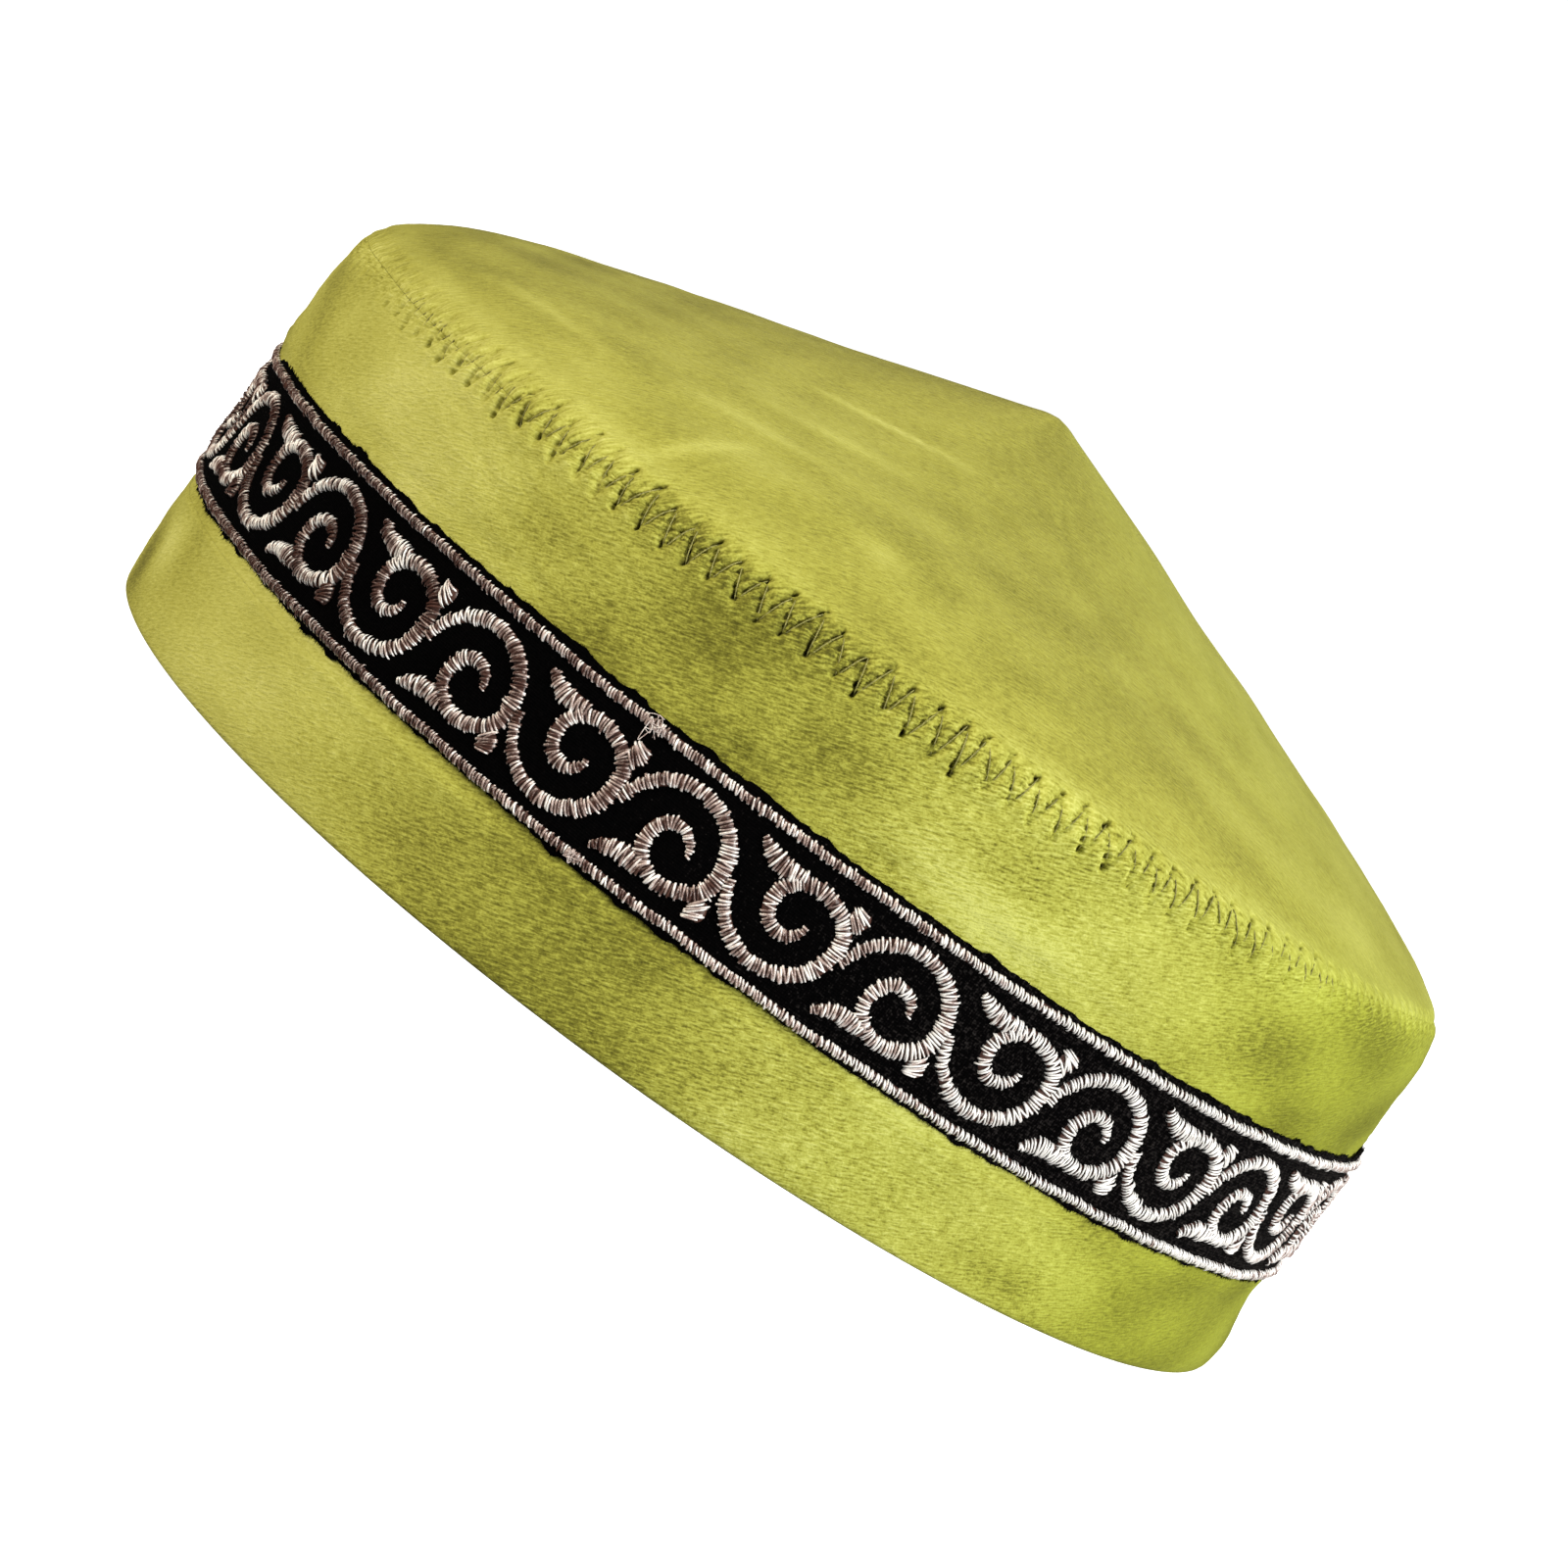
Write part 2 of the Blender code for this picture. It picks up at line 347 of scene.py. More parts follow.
def volume_of(points: Array, faces: list[Array]) -> float:
    """Six times the signed volume inside the faces: the sum of their corners' determinants.

    Args:
        points: all points.
        faces: arrays of quads and triangles.

    Returns:
        The volume, less than nought where the faces point inwards.
    """
    total = 0.0
    for group in faces:
        corners = points[group]
        for step in range(1, group.shape[1] - 1):
            cross = np.cross(corners[:, step], corners[:, step + 1])
            total += float(np.einsum("ij,ij->", corners[:, 0], cross))
    return total


def make_piece(
    name: str,
    points: Array,
    faces: list[Array],
    material: Material,
    nodes: tuple[str, ...] = (),
    values: dict[Attribute, Array] | None = None,
    uv: Array | None = None,
    lap: float = 0.0,
) -> bpy.types.Object:
    """Makes one piece of the cap from its points and faces, facing outwards.

    Args:
        name: the piece's name.
        points: its points, in the row frame.
        faces: arrays of quads and triangles.
        material: its finish.
        nodes: the CAD nodes that it stands for.
        values: a value for each point, by attribute.
        uv: a place on the cloth for each point, in metres.
        lap: the girth at which the places start again, or nought.

    Returns:
        The piece.
    """
    points = points.reshape(-1, 3)
    if volume_of(points, faces) < 0:
        faces = [group[:, ::-1] for group in faces]
    corners = np.concatenate([group.ravel() for group in faces]).astype(np.int32)
    sizes = np.concatenate([np.full(len(group), group.shape[1]) for group in faces])
    starts = (np.cumsum(sizes) - sizes).astype(np.int32)
    mesh = bpy.data.meshes.new(name)
    mesh.vertices.add(len(points))
    mesh.vertices.foreach_set("co", points.astype(np.float32).ravel())
    mesh.loops.add(len(corners))
    mesh.loops.foreach_set("vertex_index", corners)
    mesh.polygons.add(len(starts))
    mesh.polygons.foreach_set("loop_start", starts)
    mesh.update(calc_edges=True)
    for attribute, value in (values or {}).items():
        layer = mesh.attributes.new(attribute.value, "FLOAT", "POINT")
        layer.data.foreach_set("value", value.astype(np.float32).ravel())
    if uv is not None:
        layer = mesh.uv_layers.new(name=Attribute.CLOTH_UV.value)
        layer.data.foreach_set("uv", lapped(uv.reshape(-1, 2), faces, lap))
    mesh.shade_smooth()
    mesh.materials.append(material)
    piece = bpy.data.objects.new(name, mesh)
    bpy.context.scene.collection.objects.link(piece)
    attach(piece, "root")
    if nodes:
        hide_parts(*nodes)
    LOG.info("%s: %d points, %d faces", name, len(points), len(starts))
    return piece


def lapped(uv: Array, faces: list[Array], lap: float) -> Array:
    """Each corner's place on the cloth, carried on past the lap in faces that cross it.

    Args:
        uv: a place on the cloth for each point.
        faces: arrays of quads and triangles.
        lap: the girth at which the places start again, or nought.

    Returns:
        The places corner by corner, as one flat array.
    """
    found = []
    for group in faces:
        places = uv[group]
        across = places[..., 0]
        wide = np.ptp(across, axis=1, keepdims=True) > lap / 2
        places[..., 0] = np.where((lap > 0) & wide & (across < 0), across + lap, across)
        found.append(places.reshape(-1, 2))
    return np.concatenate(found).astype(np.float32).ravel()


# Finishes


class Graph:
    """A material's nodes, added and linked in short lines."""

    def __init__(self, name: str, plain: dict[str, float | tuple[float, ...]]) -> None:
        """Starts a Principled material.

        Args:
            name: the material's name.
            plain: what stays the same all over the surface, by socket.
        """
        self.material = bpy.data.materials.new(name)
        self.material.use_nodes = True
        self.tree = self.material.node_tree
        self.shader = self.tree.nodes["Principled BSDF"]
        for socket, value in plain.items():
            self.shader.inputs[socket].default_value = value

    def put(self, source: Socket, socket: str) -> None:
        """Links a source to one of the shader's sockets."""
        self.tree.links.new(source, self.shader.inputs[socket])

    def places(self, turned: float = 0.0, drawn: float = 1.0) -> Socket:
        """The places on the cloth, so that a pattern is drawn out along the given turn.

        Args:
            turned: the turn along which it is drawn out.
            drawn: how many times as long it gets.

        Returns:
            Their socket.
        """
        source = self.tree.nodes.new("ShaderNodeUVMap")
        source.uv_map = Attribute.CLOTH_UV.value
        mapping = self.tree.nodes.new("ShaderNodeMapping")
        mapping.vector_type = "TEXTURE"
        mapping.inputs["Rotation"].default_value[2] = turned
        mapping.inputs["Scale"].default_value[0] = drawn
        self.tree.links.new(source.outputs["UV"], mapping.inputs["Vector"])
        return mapping.outputs["Vector"]

    def body(self) -> Socket:
        """The object's own coordinates, in metres."""
        return self.tree.nodes.new("ShaderNodeTexCoord").outputs["Object"]

    def kept(self, attribute: Attribute) -> Socket:
        """A value that the piece keeps on its points.

        Args:
            attribute: its name.

        Returns:
            Its socket.
        """
        node = self.tree.nodes.new("ShaderNodeAttribute")
        node.attribute_name = attribute.value
        return node.outputs["Fac"]

    def noise(self, where: Socket, grain: float, detail: float) -> Socket:
        """Noise whose grain is about the given length, in metres.

        Args:
            where: the coordinates that it reads.
            grain: the grain's length.
            detail: how many finer layers it has.

        Returns:
            Its socket.
        """
        node = self.tree.nodes.new("ShaderNodeTexNoise")
        node.inputs["Scale"].default_value = 1 / grain
        node.inputs["Detail"].default_value = detail
        self.tree.links.new(where, node.inputs["Vector"])
        return node.outputs["Fac"]

    def waves(self, where: Socket, pitch: float, upright: bool) -> Socket:
        """Even sine waves of the given pitch, in metres, along or across the cloth.

        Args:
            where: the coordinates that it reads.
            pitch: the length of a wave.
            upright: whether the waves follow one another up the cloth.

        Returns:
            Their socket.
        """
        node = self.tree.nodes.new("ShaderNodeTexWave")
        node.bands_direction = "Y" if upright else "X"
        node.inputs["Scale"].default_value = TURN / (WAVE_UNITS * pitch)
        node.inputs["Distortion"].default_value = 0.6
        self.tree.links.new(where, node.inputs["Vector"])
        return node.outputs["Fac"]

    def total(self, start: float, *terms: tuple[Socket, float]) -> Socket:
        """The start plus each source times its weight.

        Args:
            start: the plain part.
            terms: sources and weights.

        Returns:
            The sum's socket.
        """
        running = None
        for source, weight in terms:
            node = self.tree.nodes.new("ShaderNodeMath")
            node.operation = "MULTIPLY_ADD"
            self.tree.links.new(source, node.inputs[0])
            node.inputs[1].default_value = weight
            node.inputs[2].default_value = start
            if running is not None:
                self.tree.links.new(running, node.inputs[2])
            running = node.outputs[0]
        return running

    def times(self, one: Socket, other: Socket) -> Socket:
        """The product of two sources.

        Args:
            one: a source.
            other: the other source.

        Returns:
            The product's socket.
        """
        node = self.tree.nodes.new("ShaderNodeMath")
        node.operation = "MULTIPLY"
        self.tree.links.new(one, node.inputs[0])
        self.tree.links.new(other, node.inputs[1])
        return node.outputs[0]

    def tinted(
        self, colour: Socket, share: Socket, tint: tuple[float, ...]
    ) -> Socket:
        """The colour, multiplied by the tint as far as the share says.

        Args:
            colour: its socket.
            share: the share's socket.
            tint: the tint.

        Returns:
            The tinted colour's socket.
        """
        node = self.tree.nodes.new("ShaderNodeMix")
        node.data_type = "RGBA"
        node.blend_type = "MULTIPLY"
        self.tree.links.new(share, node.inputs["Factor"])
        self.tree.links.new(colour, node.inputs[MIX_FIRST])
        node.inputs[MIX_SECOND].default_value = (*tint, 1.0)
        return node.outputs[MIX_RESULT]

    def ramp(
        self, source: Socket, stops: tuple[tuple[float, tuple[float, ...]], ...]
    ) -> Socket:
        """The source's value turned into a colour between stops of place and colour.

        Args:
            source: the value's socket.
            stops: places from nought to one, with colours.

        Returns:
            The colour's socket.
        """
        node = self.tree.nodes.new("ShaderNodeValToRGB")
        elements = node.color_ramp.elements
        while len(elements) < len(stops):
            elements.new(0.5)
        for element, (place, colour) in zip(elements, stops):
            element.position = place
            element.color = (*colour, 1.0)
        self.tree.links.new(source, node.inputs["Fac"])
        return node.outputs["Color"]

    def bump(self, height: Socket, depth: float, strength: float = 1.0) -> None:
        """Raises the surface by the height times the depth, in metres.

        Args:
            height: the height's socket.
            depth: how much a height of one stands for.
            strength: how far it turns the light.
        """
        node = self.tree.nodes.new("ShaderNodeBump")
        node.inputs["Strength"].default_value = strength
        node.inputs["Distance"].default_value = depth
        self.tree.links.new(height, node.inputs["Height"])
        self.put(node.outputs["Normal"], "Normal")


@dataclass(frozen=True)
class VelourFinish:
    """Short brushed pile: olive green, with fine strokes and a soft bloom.

    The darker the pile lies, the rougher its strokes show. The cast turns yellow-olive greener.
    """

    deep: tuple[float, float, float] = (0.085, 0.078, 0.010)
    dark: tuple[float, float, float] = (0.19, 0.178, 0.024)
    middle: tuple[float, float, float] = (0.355, 0.340, 0.058)
    light: tuple[float, float, float] = (0.475, 0.465, 0.105)
    bright: tuple[float, float, float] = (0.60, 0.59, 0.18)
    green: tuple[float, float, float] = (0.86, 0.97, 0.52)
    grain: float = 0.34 * MM
    stroke: float = 0.31 * MM
    mottle: float = 3.6 * MM
    stroke_turn: float = math.radians(20)
    stroke_drawn: float = 4.6
    depth: float = 0.16 * MM

    def material(self) -> Material:
        """Builds the material.

        Returns:
            The material.
        """
        plain = {
            "Roughness": 0.8,
            "Specular IOR Level": 0.14,
            "Sheen Weight": 0.10,
            "Sheen Roughness": 0.4,
            "Sheen Tint": (0.9, 0.86, 0.40, 1.0),
        }
        graph = Graph("velour", plain)
        strokes = graph.noise(graph.places(self.stroke_turn, self.stroke_drawn), self.stroke, 2.5)
        grain = graph.noise(graph.body(), self.grain, 2)
        mottle = graph.noise(graph.body(), self.mottle, 2)
        uneven = graph.total(-0.78, (strokes, 0.95), (grain, 0.45), (mottle, 0.16))
        # The kept nap value brings painted light and shade round the cap into the tone, with the pile's
        # own clouds and patches.
        nap = graph.kept(Attribute.NAP_AND_LIGHT)
        tone = graph.total(0.5, (graph.times(uneven, graph.kept(Attribute.GRIT)), 1.0), (nap, 1.0))
        colours = (self.deep, self.dark, self.middle, self.light, self.bright)
        stops = tuple((place / 4, colour) for place, colour in enumerate(colours))
        colour = graph.ramp(tone, stops)
        graph.put(graph.tinted(colour, graph.kept(Attribute.CAST), self.green), "Base Color")
        graph.bump(graph.total(0.0, (strokes, 1.0), (grain, 0.60), (mottle, 1.6)), self.depth)
        return graph.material


@dataclass(frozen=True)
class RibbonFinish:
    """Black woven velvet: a fine weave under short fluff, with grey lint here and there."""

    black: tuple[float, float, float] = (0.0003, 0.0003, 0.0004)
    worn_and_lit: tuple[float, float, float] = (0.0013, 0.0011, 0.0012)
    lint: tuple[float, float, float] = (0.025, 0.022, 0.021)
    weave: float = 0.36 * MM
    fluff: float = 0.28 * MM
    depth: float = 0.12 * MM

    def material(self) -> Material:
        """Builds the material.

        Returns:
            The material.
        """
        plain = {"Roughness": 0.9, "Specular IOR Level": 0.018}
        graph = Graph("ribbon_black", plain)
        across = graph.waves(graph.places(), self.weave, False)
        upright = graph.waves(graph.places(), self.weave, True)
        fluff = graph.noise(graph.places(), self.fluff, 3)
        specks = graph.noise(graph.body(), 1.7 * self.fluff, 1)
        tone = graph.total(-0.62, (across, 0.10), (upright, 0.10), (fluff, 0.45), (specks, 0.95))
        # The kept tone is painted light, paler at the right where the lights fall; it lifts the black
        # towards the worn grey as the random wear does.
        tone = graph.total(0.0, (tone, 1.0), (graph.kept(Attribute.TONE), 1.0))
        stops = ((0.0, self.black), (0.45, self.worn_and_lit), (0.80, self.lint))
        graph.put(graph.ramp(tone, stops), "Base Color")
        height = graph.total(0.0, (across, 0.35), (upright, 0.35), (fluff, 0.9))
        graph.bump(height, self.depth)
        return graph.material


@dataclass(frozen=True)
class ThreadFinish:
    """Silvery embroidery thread, with fine filaments; its tone paints highlights white and shade brown."""

    name: str = "thread_silver"
    bright: tuple[float, float, float] = (1.0, 0.968, 0.935)
    middle: tuple[float, float, float] = (0.45, 0.33, 0.295)
    brown: tuple[float, float, float] = (0.075, 0.034, 0.026)
    filament: float = 0.12 * MM
    streak: float = 1.1 * MM
    shine: float = 1.6
    dulling: float = 0.9
    depth: float = 0.03 * MM

    def material(self) -> Material:
        """Builds the material.

        Returns:
            The material.
        """
        plain = {
            "Metallic": 0.0,
            "Roughness": 0.26,
        }
        graph = Graph(self.name, plain)
        filaments = graph.noise(graph.body(), self.filament, 2)
        streaks = graph.noise(graph.body(), self.streak, 2)
        tone = graph.kept(Attribute.TONE)
        tone = graph.total(-1.05, (tone, 1.0), (filaments, 0.90), (streaks, 1.20))
        graph.put(graph.total(self.shine, (tone, -self.dulling)), "Specular IOR Level")
        # White stands for painted highlights and brown for painted shade, with the thread's own pinkish
        # middle between.
        stops = ((0.0, self.bright), (0.5, self.middle), (1.0, self.brown))
        graph.put(graph.ramp(tone, stops), "Base Color")
        graph.bump(filaments, self.depth)
        return graph.material


@dataclass(frozen=True)
class SewingFinish:
    """Dull olive sewing thread with a faint twist."""

    light: tuple[float, float, float] = (0.33, 0.31, 0.10)
    dark: tuple[float, float, float] = (0.15, 0.145, 0.04)
    twist: float = 0.3 * MM

    def material(self) -> Material:
        """Builds the material.

        Returns:
            The material.
        """
        graph = Graph("sewing_thread", {"Roughness": 0.75, "Specular IOR Level": 0.25})
        twist = graph.noise(graph.body(), self.twist, 2)
        stops = ((0.35, self.dark), (0.65, self.light))
        graph.put(graph.ramp(twist, stops), "Base Color")
        graph.bump(twist, 0.3 * self.twist)
        return graph.material


# The cap's form


@dataclass(frozen=True)
class CapForm:
    """Where the cap's cloth and ribbon lie, from the frame.

    Attributes:
        face: radius of the ribbon's face.
        foot: height of the ribbon's lower edge.
        head: height of the ribbon's upper edge.
        seam: height of the joint of wall and crown, and seam_radius its radius.
        rise: height of the tip over the seam.
    """

    face: float
    foot: float
    head: float
    seam: float
    seam_radius: float
    rise: float
    cloth: float = 1.8 * MM
    lean: float = math.tan(math.radians(0.8))
    tip_shift: float = -0.7 * MM
    joint_gap: float = 0.3 * MM
    ribbon_back: float = 0.8 * MM
    fold_depth: float = 1.2 * MM
    fold_height: float = 9 * MM

    @classmethod
    def from_frame(cls) -> "CapForm":
        """Reads the sizes off the CAD nodes' boxes, which lean with the cap.

        Returns:
            The form.
        """
        ribbon_low, ribbon_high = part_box("ribbon")
        crown_low, crown_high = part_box("crown")
        seam = crown_low.z + cls.lean * crown_high.x - cls.joint_gap / 2
        return cls(
            face=ribbon_high.x,
            foot=ribbon_low.z + cls.lean * ribbon_high.x,
            head=ribbon_high.z - cls.lean * ribbon_high.x,
            seam=seam,
            seam_radius=crown_high.x,
            rise=crown_high.z - seam,
        )

    @property
    def outer(self) -> float:
        """Radius of the cloth under the ribbon."""
        return self.face - self.ribbon_back

    @property
    def inner(self) -> float:
        """Radius inside the wall."""
        return self.outer - self.cloth

    def place(self, angle: Array, radius: Array, height: Array) -> Array:
        """Points at these angles, radii and heights, with the lean that the sewing gave the cap.

        The lean lowers the +X side in proportion to x. It grows from nought at the rim to its
        whole at the ribbon. The tip moves aside with the square of the height over the seam.

        Args:
            angle: angles round the cap.
            radius: radii.
            height: heights before the lean.

        Returns:
            The points.
        """
        share = np.clip((height - self.seam) / self.rise, 0.0, None)
        side = radius * np.sin(angle)
        x = side + self.tip_shift * share**2
        y = -radius * np.cos(angle)
        z = height - self.lean * np.clip(height / self.foot, 0.0, 1.0) * side
        return np.stack(np.broadcast_arrays(x, y, z), axis=-1)

    def on_ribbon(self, flat: Array, turned: float, middle: float | Array) -> Array:
        """Puts points of the ribbon laid flat round the cap.

        Args:
            flat: points along the ribbon, across it and off its face.
            turned: the angle at which their middle lies.
            middle: the height at which it lies.

        Returns:
            The points.
        """
        along, across, off = flat.T
        return self.place(turned + along / self.face, self.face + off, middle + across)


def cord_height(name: str) -> float:
    """The middle height of a border cord's CAD node."""
    low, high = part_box(name)
    return (low.z + high.z) / 2


@dataclass(frozen=True)
class Zigzag:
    """The zigzag stitching over the joint of wall and crown.

    It is worked out on the cloth laid flat: the place round the cap is counted in teeth, and the
    place up the cloth is the run from the joint. Each tooth has a rising arm from its low point
    to its high point, half a tooth on, and a falling arm from there to the next low point.
    """

    teeth: int = 158
    first: float = math.radians(-0.45)
    low: float = -2.9 * MM
    high: float = 3.0 * MM
    sway: float = 0.14 * MM
    slot: float = 0.25 * MM
    slot_depth: float = 0.75 * MM
    puff: float = 0.75 * MM
    puff_reach: float = 0.75 * MM
    puff_above: float = 0.6
    joint_width: float = 0.40 * MM
    joint_depth: float = 0.10 * MM
    thread: float = 0.085 * MM
    thread_beside: float = 0.20 * MM
    points_a_tooth: int = 16
    place_error: float = 0.07
    low_error: float = 0.32 * MM
    high_error: float = 0.46 * MM
    uneven: float = 0.45
    reach: float = 5.4 * MM
    cloud_reach: float = 4.2 * MM
    cloud_shade: float = 0.55
    joint_reach: float = 3.3 * MM
    joint_shade: float = 0.30
    brow_from: float = 0.60 * MM
    brow_width: float = 0.26 * MM
    # Weights of painted highlights: along the brows beside the slots, on the puffs' tops and on bare
    # stitches.
    brow_highlight: float = 0.26
    top_highlight: float = 0.10
    bared_highlight: float = 0.75

    # How the seam strays up the cloth. Columns: angle and half width in degrees, and rise.
    WANDER = (
        (-45, 22, -0.7 * MM),
        (33, 24, 0.9 * MM),
        (57, 30, 2.1 * MM),
        (80, 42, 1.7 * MM),
    )

    # Where the thread cuts into the pile. Columns: strength at the low end, reach of that end as
    # a share of the arm, strength and reach of the high end, and strength all along.
    RISING = (0.30, 0.16, 1.00, 0.24, 0.16)
    FALLING = (1.10, 0.30, 0.30, 0.16, 0.12)
    PATCHES = Ripples(47, (250, 460), (2.4 * MM, 1.0 * MM), 24)

    def wander(self, angle: Array) -> Array:
        """How far the seam strays up the cloth: higher at the right front, lower at the left.

        Args:
            angle: angles round the cap.

        Returns:
            The distance at each angle.
        """
        total = self.sway * Ripples(31, (3, 19)).level(angle)
        for middle, half_width, rise in self.WANDER:
            total = total + rise * lobe(angle, middle, half_width)
        return total

    def clear(self, angle: Array) -> Array:
        """How clearly the stitches show: less where the pile lies over them at both sides."""
        right = np.minimum(3.0 * lobe(angle, 85, 52), 1.0)
        return 1 - 0.90 * np.maximum(lobe(angle, -78, 46), right)

    def tall(self, angle: Array) -> Array:
        """How tall the zigzag is round the cap, as a share of its height at the front."""
        return 1 - 0.45 * lobe(angle, 72, 46)

    def clear_above(self, angle: Array) -> Array:
        """How clearly their upper ends show: least at the left front."""
        return 1 - 0.75 * lobe(angle, -50, 42)

    def shaded(self, angle: Array) -> Array:
        """How much painted shade lies on the pile between the stitches: most at the left front."""
        return lobe(angle, -22, 52)

    def stray(self, seed: int, size: float) -> Array:
        """A small error for each tooth."""
        return size * np.clip(scatter(seed, self.teeth), -2.0, 2.0)

    def corners(self, tooth: Array) -> tuple[Array, ...]:
        """Place and run of each tooth's low point and of its high point.

        Args:
            tooth: whole numbers of teeth.

        Returns:
            Four arrays, with a value for each tooth.
        """
        index = tooth % self.teeth
        low_place = tooth + self.stray(41, self.place_error)[index]
        high_place = tooth + 0.5 + self.stray(42, self.place_error)[index]
        tall = self.tall(self.first + tooth / self.teeth * TURN)
        low_run = tall * (self.low + self.stray(43, self.low_error)[index])
        high_run = tall * (self.high + self.stray(44, self.high_error)[index])
        return low_place, low_run, high_place, high_run

    def cuts(self, angle: Array, run: Array, pitch: float) -> tuple[Array, Array]:
        """How strongly the arms cut into the pile, and how far away the nearest arm is.

        Each arm cuts as strongly as its strength there, all along and more at its ends, and
        the less the further away it is.

        Args:
            angle: angles round the cap.
            run: runs from the joint.
            pitch: length of one tooth.

        Returns:
            The strength and the distance at each place.
        """
        place = (angle - self.first) / TURN * self.teeth
        tooth = np.floor(place).astype(int)
        low_place, low_run, high_place, high_run = self.corners(tooth)
        next_place, next_run, _, _ = self.corners(tooth + 1)
        slots = np.zeros(place.shape)
        nearest = np.full(place.shape, np.inf)
        arms = ((low_place, low_run, self.RISING, 45), (next_place, next_run, self.FALLING, 46))
        for foot_place, foot_run, strengths, seed in arms:
            across, up = (high_place - foot_place) * pitch, high_run - foot_run
            aside, over = (place - foot_place) * pitch, run - foot_run
            share = np.clip((aside * across + over * up) / (across**2 + up**2), 0.0, 1.0)
            distance = np.hypot(aside - share * across, over - share * up)
            low_end, low_reach, high_end, high_reach, along = strengths
            vary = 1 + self.uneven * np.clip(scatter(seed, self.teeth)[tooth % self.teeth], -1.8, 1.6)
            ends = low_end * fall(share, low_reach)
            ends = ends + high_end * self.clear_above(angle) * fall(1 - share, high_reach)
            strength = along + vary * ends
            width = self.slot * (0.75 + 0.45 * np.minimum(strength, 1.0))
            slots = np.maximum(slots, strength * fall(distance, width))
            nearest = np.minimum(nearest, distance)
        return slots, nearest

    def relief(self, angle: Array, run: Array, pitch: float) -> tuple[Array, ...]:
        """How far the sewing lifts the cloth, and the painted shade and highlights it puts there.

        The cloth puffs between the arms and sinks into their slots and into the joint. Seeded
        patches make the slots uneven and put painted shade on the pile near them. The slots and
        the pile between the stitches take painted shade; the puffs' tops, the brows beside the
        slots and bare stitches take painted highlights.

        Args:
            angle: angles round the cap.
            run: runs from the joint.
            pitch: length of one tooth.

        Returns:
            The lift, and the painted shade less the painted highlights, at each place.
        """
        slots, nearest = self.cuts(angle, run, pitch)
        clear = self.clear(angle)
        patchy = self.PATCHES.at(angle, run)
        middle = run - (self.low + self.high) / 2
        inside = bell(middle, self.reach)
        # The clouds are painted shade: mottled shadows on the pile across the zigzag's band.
        clouds = bell(middle, self.cloud_reach) * (1.25 - self.clear_above(angle))
        clouds = self.cloud_shade * clouds * np.clip(-patchy - 0.5, 0.0, 1.3)
        slots = np.maximum(slots * np.clip(0.88 + 0.70 * patchy, 0.12, 1.8), clouds) * clear
        # Painted shade on the pile between the stitches, in a band about the joint.
        between = self.joint_shade * self.shaded(angle) * bell(run, self.joint_reach)
        slots = slots + between * (1 + 0.7 * patchy)
        tops = (1 - fall(nearest, self.puff_reach)) * inside
        puff = self.puff * tops * np.where(run < 0, 1.0, self.puff_above) * (0.35 + 0.65 * clear)
        lift = puff - self.slot_depth * slots - self.joint_depth * fall(run, self.joint_width)
        # Painted highlights: on bare stitches, on the puffs' tops and along the brows beside the slots.
        bared = fall(nearest, 1.6 * self.slot) * inside * (1 - clear)
        brow = fall(nearest - self.brow_from, self.brow_width) * inside * (0.7 + 0.5 * patchy)
        paler = self.bared_highlight * bared + self.top_highlight * tops + self.brow_highlight * brow
        # The slots give painted shade in the holes and grooves, as well as their dents in the lift.
        return lift, slots - paler


@dataclass(frozen=True)
class Streak:
    """A pale mark on the crown, from one polar point to another: painted highlight on a crease.

    Attributes:
        start: angle in degrees and radius as a share of the seam's radius.
        end: the same for its other end.
        width: half its width.
        strength: how much paler it is.
    """

    start: tuple[float, float]
    end: tuple[float, float]
    width: float
    strength: float

    def at(self, angle: Array, radius: Array, seam_radius: float) -> Array:
        """The mark's strength, by the distance from its line on the crown seen from above.

        Args:
            angle: angles round the cap.
            radius: radii.
            seam_radius: the seam's radius.

        Returns:
            The strength at each place.
        """
        ends = []
        for degrees, share in (self.start, self.end):
            turned = math.radians(degrees)
            ends.append(share * seam_radius * np.array([math.sin(turned), math.cos(turned)]))
        (x0, y0), (across, up) = ends[0], ends[1] - ends[0]
        east, north = radius * np.sin(angle) - x0, radius * np.cos(angle) - y0
        along = np.clip((east * across + north * up) / (across**2 + up**2), 0.0, 1.0)
        away = np.hypot(east - along * across, north - along * up)
        fading = 0.35 + 0.65 * bell(along - 0.5, 0.62)
        return self.strength * fall(away, self.width) * fading


